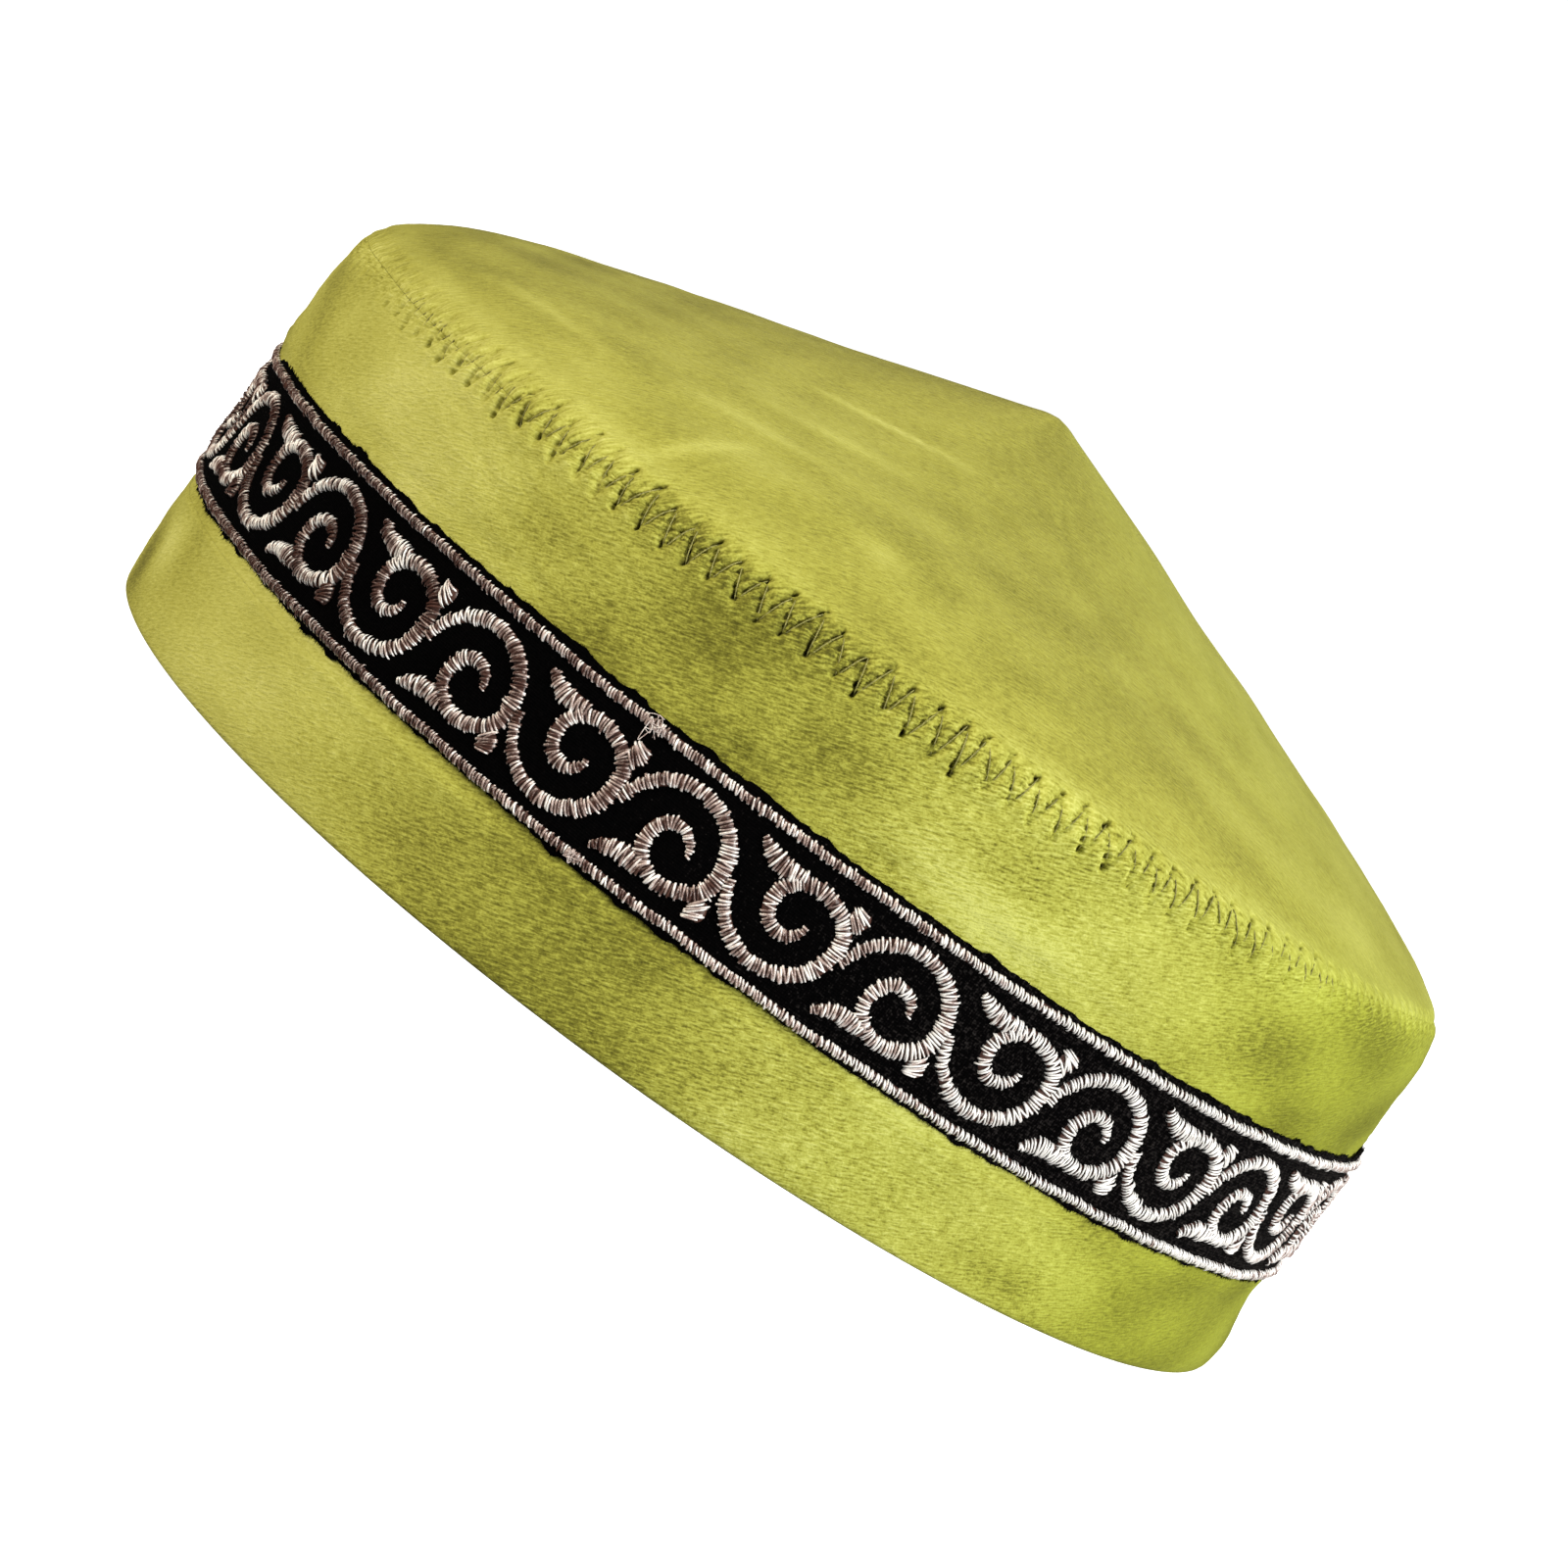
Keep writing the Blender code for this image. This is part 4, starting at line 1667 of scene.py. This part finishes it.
@dataclass(frozen=True)
class Satin:
    """Satin stitching: bent threads side by side across a path, over a padded ridge.

    Paths lie on the ribbon laid flat. Their columns are the place along it, the place across
    it and the width of the stitching.
    """

    pitch: float = 0.42 * MM
    thread: float = 0.145 * MM
    thickness: float = 0.14 * MM
    relief: float = 0.68 * MM
    lean: float = math.radians(4)
    zigzag: float = 0.20
    sunk: float = 0.12 * MM
    narrowest: float = 0.35
    full_width: float = 2.6 * MM
    # The direction along which stitches take painted shade, and across which painted highlights.
    shade_turn: float = math.radians(36)
    end_contrast: float = 0.35

    # How much single stitches differ by chance.
    width_error: float = 0.10
    lean_error: float = 0.09
    along_error: float = 0.06 * MM
    across_error: float = 0.09 * MM
    height_error: float = 0.08
    girth_error: float = 0.12
    tone_error: float = 0.28

    # Along one stitch. Columns: place as a share of the half width, height as a share of the
    # relief, and girth as a share of the thread's.
    BEND = (
        (-1.04, -0.25, 0.45),
        (-0.93, 0.28, 0.92),
        (-0.62, 0.70, 1.00),
        (0.00, 0.88, 1.05),
        (0.62, 0.70, 1.00),
        (0.93, 0.28, 0.92),
        (1.04, -0.25, 0.45),
    )

    # Across the padding. Columns: place as a share of the half width, and height as a share of
    # the relief.
    PADDING = (
        (-0.92, -0.20),
        (-0.88, 0.12),
        (-0.60, 0.52),
        (0.00, 0.72),
        (0.60, 0.52),
        (0.88, 0.12),
        (0.92, -0.20),
    )

    # Painted light along each stitch, from end to end: painted highlights where it bends into
    # the ribbon, and painted shade at its tips and its middle.
    ENDS = (0.20, -0.62, -0.10, 0.12, -0.10, -0.62, 0.20)

    # Painted light on the thread round the cap: painted shade makes it browner at the left, away
    # from the lights, and painted highlights make it whiter at the right. Columns: angle in
    # degrees, tone, and how much browner, by painted shade, it is where its stitches lie along
    # the shaded direction than across it.
    TONES = (
        (-180, 0.45, 0.2),
        (-110, 0.60, 0.4),
        (-72, 0.90, 1.6),
        (-60, 0.80, 1.7),
        (-40, 0.72, 1.5),
        (-22, 0.69, 0.6),
        (-8, 0.62, -0.2),
        (2, 0.54, -0.3),
        (10, 0.36, -0.2),
        (20, -0.02, 0.0),
        (30, -0.40, 0.0),
        (45, -0.45, 0.0),
        (57, -0.30, 0.1),
        (66, 0.12, 0.1),
        (80, 0.46, 0.2),
        (180, 0.45, 0.2),
    )
    # The padding's tone: the darkest brown, painted shade in the gaps between and under the stitches.
    PADDING_SHADE = 1.25

    def tone(self, stitches: Array, draw: Array, angle: Array, flip: int = 1) -> Array:
        """The tone of each stitch's points, with painted light by place, direction and bend.

        Args:
            stitches: points as stitch, section, corner.
            draw: the stitches' random draw.
            angle: where each lies round the cap.
            flip: minus one where the points are turned over when they are placed, and nought
                where only the stitches' share along the ribbon counts.

        Returns:
            The tones as stitch, section, corner.
        """
        span = unit((stitches[:, -1, 0] - stitches[:, 0, 0])[:, :2] * np.array([1, flip]))
        # Painted light by the stitch's direction, and round the cap by the table.
        along = span @ np.array([math.cos(self.shade_turn), math.sin(self.shade_turn)])
        tone, direction_shade = read_round(self.TONES, angle)
        tone = tone + direction_shade * (along**2 - 0.5) + self.tone_error * draw
        # Painted highlights at each stitch's bends, painted shade at its tips and middle; both are
        # stronger where the direction counts more.
        ends = (1 + self.end_contrast * np.abs(direction_shade))[:, None] * np.array(self.ENDS)
        return (tone[:, None] + ends)[..., None] * np.ones(stitches.shape[2])

    def lifted(self, width: Array) -> Array:
        """The relief of stitching this wide: narrow stitching lies flatter."""
        return self.relief * np.minimum(self.narrowest + width / self.full_width, 1.0)

    def directions(self, path: Array) -> tuple[Array, Array]:
        """Unit directions along a path and across it, at each of its rows."""
        forward = unit(np.gradient(path[:, :2], axis=0))
        return forward, np.stack([-forward[:, 1], forward[:, 0]], axis=1)

    def threads(
        self, path: Array, seed: int, raised: float = 0.0, aslant: float = 0.0
    ) -> tuple[Array, ...]:
        """The stitches over a path, on the flat ribbon.

        Each is a tube with four corners to a section. Its middle line runs across the path,
        leaning by turns so that neighbours meet, and arches from the ribbon over the padding.

        Args:
            path: its columns are along, across and width, one row for each stitch.
            seed: the draw of the small errors.
            raised: how far the whole stitching lies over the ribbon.
            aslant: the turn of all stitches from square to the path.

        Returns:
            Points as stitch, section, corner, and the stitches' random draw.
        """
        draw = np.random.default_rng(seed)
        count = len(path)
        forward, cross = self.directions(path)
        half = path[:, 2] / 2 * (1 + draw.normal(0, self.width_error, count))
        zigzag = np.where(np.arange(count) % 2 == 0, 1, -1) * self.zigzag * self.pitch / half
        lean = self.lean + aslant + np.clip(zigzag, -0.5, 0.5) + draw.normal(0, self.lean_error, count)
        stitch = cross * np.cos(lean)[:, None] + forward * np.sin(lean)[:, None]
        beside = np.stack([stitch[:, 1], -stitch[:, 0]], axis=1)
        middle = path[:, :2] + forward * draw.normal(0, self.along_error, count)[:, None]
        middle = middle + stitch * draw.normal(0, self.across_error, count)[:, None]
        lift = self.lifted(path[:, 2]) * (1 + draw.normal(0, self.height_error, count))
        girth = self.thread * (1 + draw.normal(0, self.girth_error, count))
        place, height, share = np.array(self.BEND).T
        flat = middle[:, None] + stitch[:, None] * (place * half[:, None])[..., None]
        up = raised + height * lift[:, None]
        wide = share * girth[:, None]
        thick = share * self.thickness * np.ones((count, 1))
        corners = []
        for sideways, upward in ((1, 0), (0, 1), (-1, 0), (0, -1)):
            spot = flat + beside[:, None] * (sideways * wide)[..., None]
            corners.append(np.concatenate([spot, (up + upward * thick)[..., None]], axis=-1))
        return np.stack(corners, axis=2), draw.normal(size=count)

    def padding(self, path: Array, raised: float = 0.0) -> Array:
        """The padded ridge under a path's stitches, as points by section and corner.

        Args:
            path: as for the threads.
            raised: how far the ridge lies over the ribbon.

        Returns:
            The points.
        """
        _, cross = self.directions(path)
        place, height = np.array(self.PADDING).T
        spot = path[:, None, :2] + cross[:, None] * (place * path[:, 2:] / 2)[..., None]
        up = raised + height * self.lifted(path[:, 2])[:, None]
        return np.concatenate([spot, up[..., None]], axis=-1)


@dataclass(frozen=True)
class Scroll:
    """The running scroll: one vine with its leaf and bud for each node, turned over in turn."""

    form: CapForm
    satin: Satin
    repeats: int = 18
    start: float = math.radians(-5)
    stitch_width: float = 2 * MM
    leaf_raised: float = 0.05 * MM
    bud_raised: float = 0.10 * MM
    bud_aslant: float = math.radians(-28)
    bud_pitch: float = 0.8
    seed: int = 1000

    # The vine about its spiral's pole. Columns: direction in degrees, distance as a share of
    # half a repeat, and width as a share of the stitch width.
    POLE = (0.024, -0.055)
    VINE = (
        (176, 0.505, 0.70),
        (142, 0.478, 0.85),
        (110, 0.452, 0.95),
        (74, 0.435, 0.93),
        (39, 0.433, 1.05),
        (8, 0.422, 1.10),
        (-20, 0.409, 1.10),
        (-49, 0.335, 1.00),
        (-90, 0.274, 1.00),
        (-131, 0.227, 0.95),
        (-186, 0.175, 0.95),
        (-248, 0.157, 0.90),
        (-311, 0.143, 0.70),
        (-362, 0.140, 0.35),
    )

    # Leaf and bud. Columns: along and across as shares of half a repeat, and width as a share
    # of the stitch width.
    LEAF = (
        (-0.463, -0.424, 0.35),
        (-0.405, -0.378, 0.80),
        (-0.325, -0.340, 1.10),
        (-0.235, -0.322, 1.22),
        (-0.140, -0.323, 1.20),
        (-0.040, -0.340, 0.85),
    )
    BUD = (
        (0.420, -0.255, 1.15),
        (0.440, -0.300, 1.40),
        (0.450, -0.345, 1.42),
        (0.450, -0.380, 1.15),
        (0.446, -0.400, 0.80),
    )

    def parts(self) -> tuple[tuple[Array, float, float], ...]:
        """Vine, leaf and bud of one motif.

        Returns:
            For each: its path, with a row for each stitch, in metres from the motif's middle,
            how far it is raised, and how aslant its stitches lie.
        """
        half_repeat = math.pi * self.form.face / self.repeats
        whole = np.array([half_repeat, half_repeat, self.stitch_width])
        turn, reach, width = smoothed(self.VINE, 400).T
        along = self.POLE[0] + reach * np.cos(np.radians(turn))
        across = self.POLE[1] + reach * np.sin(np.radians(turn))
        vine = np.stack([along, across, width], axis=1)
        leaf, bud = smoothed(self.LEAF, 120), smoothed(self.BUD, 80)
        pitch = self.satin.pitch
        return (
            (evened(vine * whole, pitch), 0.0, 0.0),
            (evened(leaf * whole, pitch), self.leaf_raised, 0.0),
            (evened(bud * whole, self.bud_pitch * pitch), self.bud_raised, self.bud_aslant),
        )

    def motif(self, number: int, turned: float, flip: int) -> tuple[Array, list[Array], Array]:
        """One motif on the flat ribbon, not yet turned over: stitches over their padding.

        Args:
            number: the motif's number, which seeds its small errors.
            turned: the angle at which it lies.
            flip: minus one where it is turned over, or else one.

        Returns:
            Its points, its faces and the points' tones.
        """
        satin = self.satin
        points = []
        faces = []
        tones = []
        total = 0
        for order, (path, raised, aslant) in enumerate(self.parts()):
            stitches, draw = satin.threads(path, self.seed + 10 * number + order, raised, aslant)
            where = turned + stitches[:, 3, 0, 0] / self.form.face
            tone = satin.tone(stitches, draw, where, flip)
            padding = satin.padding(path, raised - satin.sunk)[None]
            for shape, shade in ((stitches, tone), (padding, satin.PADDING_SHADE)):
                size = shape.shape[:3]
                faces += [group + total for group in link_tubes(*size)]
                points.append(shape.reshape(-1, 3))
                tones.append(np.broadcast_to(shade, size).ravel())
                total += len(points[-1])
        return np.concatenate(points), faces, np.concatenate(tones)

    def make(self, material: Material) -> None:
        """Stitches each motif of the scroll, about the line midway between the cords.

        Args:
            material: its finish.
        """
        middle = (cord_height("border_lower") + cord_height("border_upper")) / 2
        for number in range(2 * self.repeats):
            turned = self.start + number * math.pi / self.repeats
            flip = -1 if number % 2 else 1
            flat, faces, tones = self.motif(number, turned, flip)
            placed = self.form.on_ribbon(flat * np.array([1, flip, 1]), turned, middle)
            name, node = f"scroll_{number + 1:02d}", f"vine_{number + 1:02d}"
            values = {Attribute.TONE: tones}
            make_piece(name, placed, faces, material, (node,), values)


@dataclass(frozen=True)
class Cords:
    """The two stitched cords along the ribbon's edges."""

    form: CapForm
    satin: Satin
    stitches: int = 1404
    width: float = 1.32 * MM
    sway: float = 0.07 * MM
    aslant: float = math.radians(-20)
    columns: int = 720

    def make(self, material: Material) -> None:
        """Builds each cord at the middle height of its CAD node."""
        for order, name in enumerate(("border_lower", "border_upper")):
            self.make_cord(name, cord_height(name), 71 + 10 * order, material)

    def make_cord(self, name: str, height: float, seed: int, material: Material) -> None:
        """One cord: a ring of padding with upright stitches bent over it.

        Args:
            name: its node.
            height: its middle height.
            seed: the draw of its errors.
            material: its finish.
        """
        satin, face = self.satin, self.form.face
        along = ring_angles(self.stitches) * face
        path = np.stack([along, 0 * along, self.width + 0 * along], axis=1)
        stitches, draw = satin.threads(path, seed, 0.0, self.aslant)
        tones = satin.tone(stitches, draw, along / face, 0)
        faces = link_tubes(*stitches.shape[:3])
        ring = np.array(satin.PADDING)
        place = np.repeat(ring[:, 0] * self.width / 2, self.columns)
        lift = np.repeat(ring[:, 1] * satin.lifted(self.width), self.columns) - satin.sunk
        under = np.stack([np.tile(ring_angles(self.columns), len(ring)) * face, place, lift], axis=1)
        total = tones.size
        faces += [group + total for group in link_rings([self.columns] * len(ring), True)]
        flat = np.concatenate([stitches.reshape(-1, 3), under])
        sway = self.sway * Ripples(seed + 1, (8, 50)).level(flat[:, 0] / face)
        placed = self.form.on_ribbon(flat, 0.0, height + sway)
        under_tones = np.full(len(under), satin.PADDING_SHADE)
        values = {Attribute.TONE: np.concatenate([tones.ravel(), under_tones])}
        make_piece(name + "_cord", placed, faces, material, (name,), values)


@dataclass(frozen=True)
class Knot:
    """A swelling of a border cord with thin loose threads tangled over it.

    Attributes:
        name: the piece's name.
        cord: the cord's CAD node.
        angle: where it lies, in degrees.
        length, width: the swelling's size on the ribbon.
        loose: how many loose threads there are.
        reach: how far they stray along and across.
        seed: the draw of their lines.
    """

    name: str
    cord: str
    angle: float
    length: float
    width: float
    loose: int
    reach: tuple[float, float]
    seed: int
    radius: float = 0.055 * MM
    turns: int = 8
    steps: int = 56
    raised: float = 0.16 * MM
    loose_depth: float = 0.25 * MM
    loose_raised: float = 0.95 * MM
    end_raised: float = 0.4 * MM
    tone: float = 0.60
    loose_tone: float = 0.40
    BESIDE = (0.31, 0.17, 0.94)

    def line(self, order: int) -> Array:
        """The route of one loose thread: a smooth curve through seeded points near the cord.

        Args:
            order: the thread's number.

        Returns:
            The route's points, on the flat ribbon.
        """
        draw = np.random.default_rng(self.seed + order)
        spots = draw.normal(0, 0.5, (self.turns, 3)) * np.array([*self.reach, self.loose_depth])
        spots[:, 0] += draw.uniform(-0.4, 0.4) * self.length
        spots[:, 2] = self.loose_raised + np.abs(spots[:, 2])
        spots[[0, -1], 2] = self.end_raised
        return smoothed(spots, self.steps)

    def make(self, form: CapForm, satin: Satin, material: Material) -> None:
        """Builds the swelling's stitches and the loose threads as one piece.

        Args:
            form: the cap's form.
            satin: how its cords are stitched.
            material: its finish.
        """
        count = int(self.length / satin.pitch)
        along = (np.arange(count) + 0.5) / count - 0.5
        width = self.width * (0.6 + 0.4 * bell(along, 0.5))
        path = np.stack([along * self.length, 0 * along, width], axis=1)
        stitches, _ = satin.threads(path, self.seed, self.raised)
        faces = link_tubes(*stitches.shape[:3])
        routes = [self.line(order) for order in range(self.loose)]
        beside = np.array(self.BESIDE)
        loose = [round_line(route, np.gradient(route, axis=0), beside, self.radius) for route in routes]
        total = stitches.size // 3
        tubes = link_tubes(self.loose, self.steps, ROUND_CORNERS)
        faces += [group + total for group in tubes]
        flat = np.concatenate([stitches.reshape(-1, 3), np.stack(loose).reshape(-1, 3)])
        placed = form.on_ribbon(flat, math.radians(self.angle), cord_height(self.cord))
        tone = np.where(np.arange(len(flat)) < total, self.tone, self.loose_tone)
        make_piece(self.name, placed, faces, material, values={Attribute.TONE: tone})


KNOTS = (
    Knot("upper_knot", "border_upper", -10.8, 3.4 * MM, 1.7 * MM, 3, (1.2 * MM, 1.6 * MM), 301),
    Knot("lower_knot", "border_lower", -10.0, 2.2 * MM, 1.6 * MM, 2, (0.9 * MM, 1.2 * MM), 311),
)


@dataclass(frozen=True)
class SeamThread:
    """The olive thread of the zigzag, half buried in the pile."""

    cloth: Cloth
    sunk: float = 0.04 * MM
    dive: float = 0.70 * MM
    hidden: float = 0.45 * MM

    def route(self) -> tuple[Array, Array, Array]:
        """The thread's line on the cloth laid flat, straight between the zigzag's corners.

        Returns:
            For each point: its place in teeth, its run from the joint, and how far it is from
            the nearer end of its arm, as a share of half the arm.
        """
        seam = self.cloth.seam
        low_place, low_run, high_place, high_run = seam.corners(np.arange(seam.teeth))
        places = np.stack([low_place, high_place], axis=1).ravel()
        runs = np.stack([low_run, high_run], axis=1).ravel()
        places = np.append(places, places[0] + seam.teeth)
        runs = np.append(runs, runs[0])
        steps = seam.teeth * seam.points_a_tooth
        where = np.arange(steps) * 2 * seam.teeth / steps
        corner = np.arange(len(places))
        share = np.abs(where - np.round(where)) * 2
        return np.interp(where, corner, places), np.interp(where, corner, runs), share

    def make(self, material: Material) -> None:
        """Carries a round section along the route, in a closed loop.

        The thread lies just under the cloth in the middle of an arm. It dives into the holes at
        both ends, and lies deeper where the pile hides it.

        Args:
            material: its finish.
        """
        cloth, seam, form = self.cloth, self.cloth.seam, self.cloth.form
        place, run, share = self.route()
        turned = place * TURN / seam.teeth
        sink = self.sunk + self.dive * (1 - share) ** 3 + self.hidden * (1 - seam.clear(turned))
        angle = seam.first + turned + seam.thread_beside / form.seam_radius
        stray = seam.wander(angle) * bell(run, cloth.stray_reach)
        seat = cloth.seat(cloth.at_height(form.seam) + run + stray)
        middle = cloth.lifted(angle, seat, -sink)
        forward = np.roll(middle, -1, axis=0) - np.roll(middle, 1, axis=0)
        out, up = seat[2:]
        outward = np.stack([np.sin(angle) * out, -np.cos(angle) * out, up], axis=1)
        points = round_line(middle, forward, outward, seam.thread)
        faces = link_tubes(1, len(middle), ROUND_CORNERS, True)
        make_piece("seam_zigzag", points, faces, material)


# Camera and studio


@dataclass(frozen=True)
class Viewpoint:
    """The photograph's view: nearly level, close by, and turned on its side.

    Attributes:
        distance: from the aim point on the cap's axis.
        aim: height of that point.
        elevation, pan, tilt, roll: in radians. Pan and tilt turn the view off the aim point.
        lens: in millimetres on a 36 mm sensor.
    """

    distance: float = 550.4 * MM
    aim: float = 50 * MM
    elevation: float = math.radians(4.811)
    pan: float = math.radians(-0.158)
    tilt: float = math.radians(-2.219)
    roll: float = math.radians(36.228)
    lens: float = 90.0
    sensor: float = 36.0
    nearest: float = 10 * MM

    def make(self) -> None:
        """Sets the scene's camera."""
        level = Vector((0.0, math.cos(self.elevation), -math.sin(self.elevation)))
        spot = Vector((0.0, 0.0, self.aim)) - self.distance * level
        right = Vector((1.0, 0.0, 0.0))
        ahead = level + math.tan(self.pan) * right + math.tan(self.tilt) * right.cross(level)
        ahead.normalize()
        right = (right - right.dot(ahead) * ahead).normalized()
        above = right.cross(ahead)
        turned = math.cos(self.roll) * right + math.sin(self.roll) * above
        raised = turned.cross(ahead)
        camera = bpy.data.cameras.new("photo_view")
        camera.lens = self.lens
        camera.sensor_width = self.sensor
        camera.clip_start = self.nearest
        eye = bpy.data.objects.new("photo_view", camera)
        columns = Matrix((turned, raised, -ahead)).transposed().to_4x4()
        eye.matrix_world = Matrix.Translation(spot) @ columns
        bpy.context.scene.collection.objects.link(eye)
        bpy.context.scene.camera = eye


@dataclass(frozen=True)
class Softbox:
    """A square soft light that faces the cap.

    Attributes:
        name: the light's name.
        azimuth, elevation: its direction from the cap, in degrees, with nought at the front.
        distance, size: in metres.
        power: in watts.
        colour: its tint.
        aim: height that it faces on the cap's axis.
    """

    name: str
    azimuth: float
    elevation: float
    distance: float
    size: float
    power: float
    colour: tuple[float, float, float] = (1.0, 1.0, 1.0)
    aim: float = 50 * MM

    def make(self) -> None:
        """Adds the light."""
        turn, rise = math.radians(self.azimuth), math.radians(self.elevation)
        away = Vector((math.sin(turn) * math.cos(rise), -math.cos(turn) * math.cos(rise), math.sin(rise)))
        light = bpy.data.lights.new(self.name, "AREA")
        light.size = self.size
        light.energy = self.power
        light.color = self.colour
        lamp = bpy.data.objects.new(self.name, light)
        lamp.location = away * self.distance + Vector((0.0, 0.0, self.aim))
        lamp.rotation_euler = (-away).to_track_quat("-Z", "Y").to_euler()
        bpy.context.scene.collection.objects.link(lamp)


@dataclass(frozen=True)
class Studio:
    """A plain white floor and surround, with soft lights at both sides of the front."""

    floor_radius: float = 8.0
    floor_columns: int = 96
    floor_glow: float = 0.98
    floor_grain: float = 20 * MM
    fill: float = 0.20
    backdrop: float = 1.05
    lights: tuple[Softbox, ...] = (
        Softbox("left_softbox", -66, 20, 1.3, 0.55, 16, (1.0, 0.91, 0.74)),
        Softbox("right_softbox", 44, 20, 1.2, 0.5, 17, (1.0, 1.0, 0.96)),
        Softbox("side_softbox", 104, 12, 1.3, 0.6, 3),
        Softbox("top_softbox", 10, 74, 1.5, 0.8, 3),
    )

    def make(self) -> None:
        """Adds the floor, the surround and the lights."""
        self.make_floor()
        self.make_surround()
        for light in self.lights:
            light.make()

    def make_floor(self) -> None:
        """A wide white disc under the cap that takes a faint shadow and adds no light."""
        angle = ring_angles(self.floor_columns)
        rim = np.stack([np.cos(angle), np.sin(angle), 0 * angle], axis=1) * self.floor_radius
        mesh = bpy.data.meshes.new("floor")
        mesh.from_pydata(rim.tolist(), [], [list(range(self.floor_columns))])
        plain = {
            "Roughness": 0.9,
            "Emission Color": (1.0, 1.0, 1.0, 1.0),
            "Emission Strength": self.floor_glow,
        }
        graph = Graph("floor_white", plain)
        grain = graph.noise(graph.body(), self.floor_grain, 2)
        white = graph.ramp(grain, ((0.0, (0.86, 0.86, 0.86)), (1.0, (0.90, 0.90, 0.90))))
        graph.put(white, "Base Color")
        mesh.materials.append(graph.material)
        floor = bpy.data.objects.new("floor", mesh)
        floor.visible_diffuse = False
        floor.visible_glossy = False
        bpy.context.scene.collection.objects.link(floor)

    def make_surround(self) -> None:
        """White all round for the camera, and a weaker even light for everything else."""
        world = bpy.data.worlds.new("surround")
        world.use_nodes = True
        tree = world.node_tree
        path = tree.nodes.new("ShaderNodeLightPath")
        share = tree.nodes.new("ShaderNodeMapRange")
        share.inputs["To Min"].default_value = self.fill
        share.inputs["To Max"].default_value = self.backdrop
        tree.links.new(path.outputs["Is Camera Ray"], share.inputs["Value"])
        background = tree.nodes["Background"]
        background.inputs["Color"].default_value = (1.0, 1.0, 1.0, 1.0)
        tree.links.new(share.outputs["Result"], background.inputs["Strength"])
        bpy.context.scene.world = world
        bpy.context.scene.view_settings.view_transform = "Standard"


def main() -> None:
    """Builds the camera, the studio and the cap, piece by piece."""
    logging.basicConfig(level=logging.INFO, format="%(name)s %(message)s")
    Viewpoint().make()
    Studio().make()
    form = CapForm.from_frame()
    LOG.info("ribbon %.1f to %.1f mm, seam %.1f mm", form.foot / MM, form.head / MM, form.seam / MM)
    velour = VelourFinish().material()
    black = RibbonFinish().material()
    thread = ThreadFinish().material()
    sewing = SewingFinish().material()
    cloth = Cloth(form, Zigzag())
    cloth.make_wall(velour)
    cloth.make_crown(velour)
    SeamThread(cloth).make(sewing)
    Ribbon(form).make(black)
    satin = Satin()
    Cords(form, satin).make(thread)
    Scroll(form, satin).make(thread)
    for knot in KNOTS:
        knot.make(form, satin, thread)


if __name__ == "__main__":
    main()
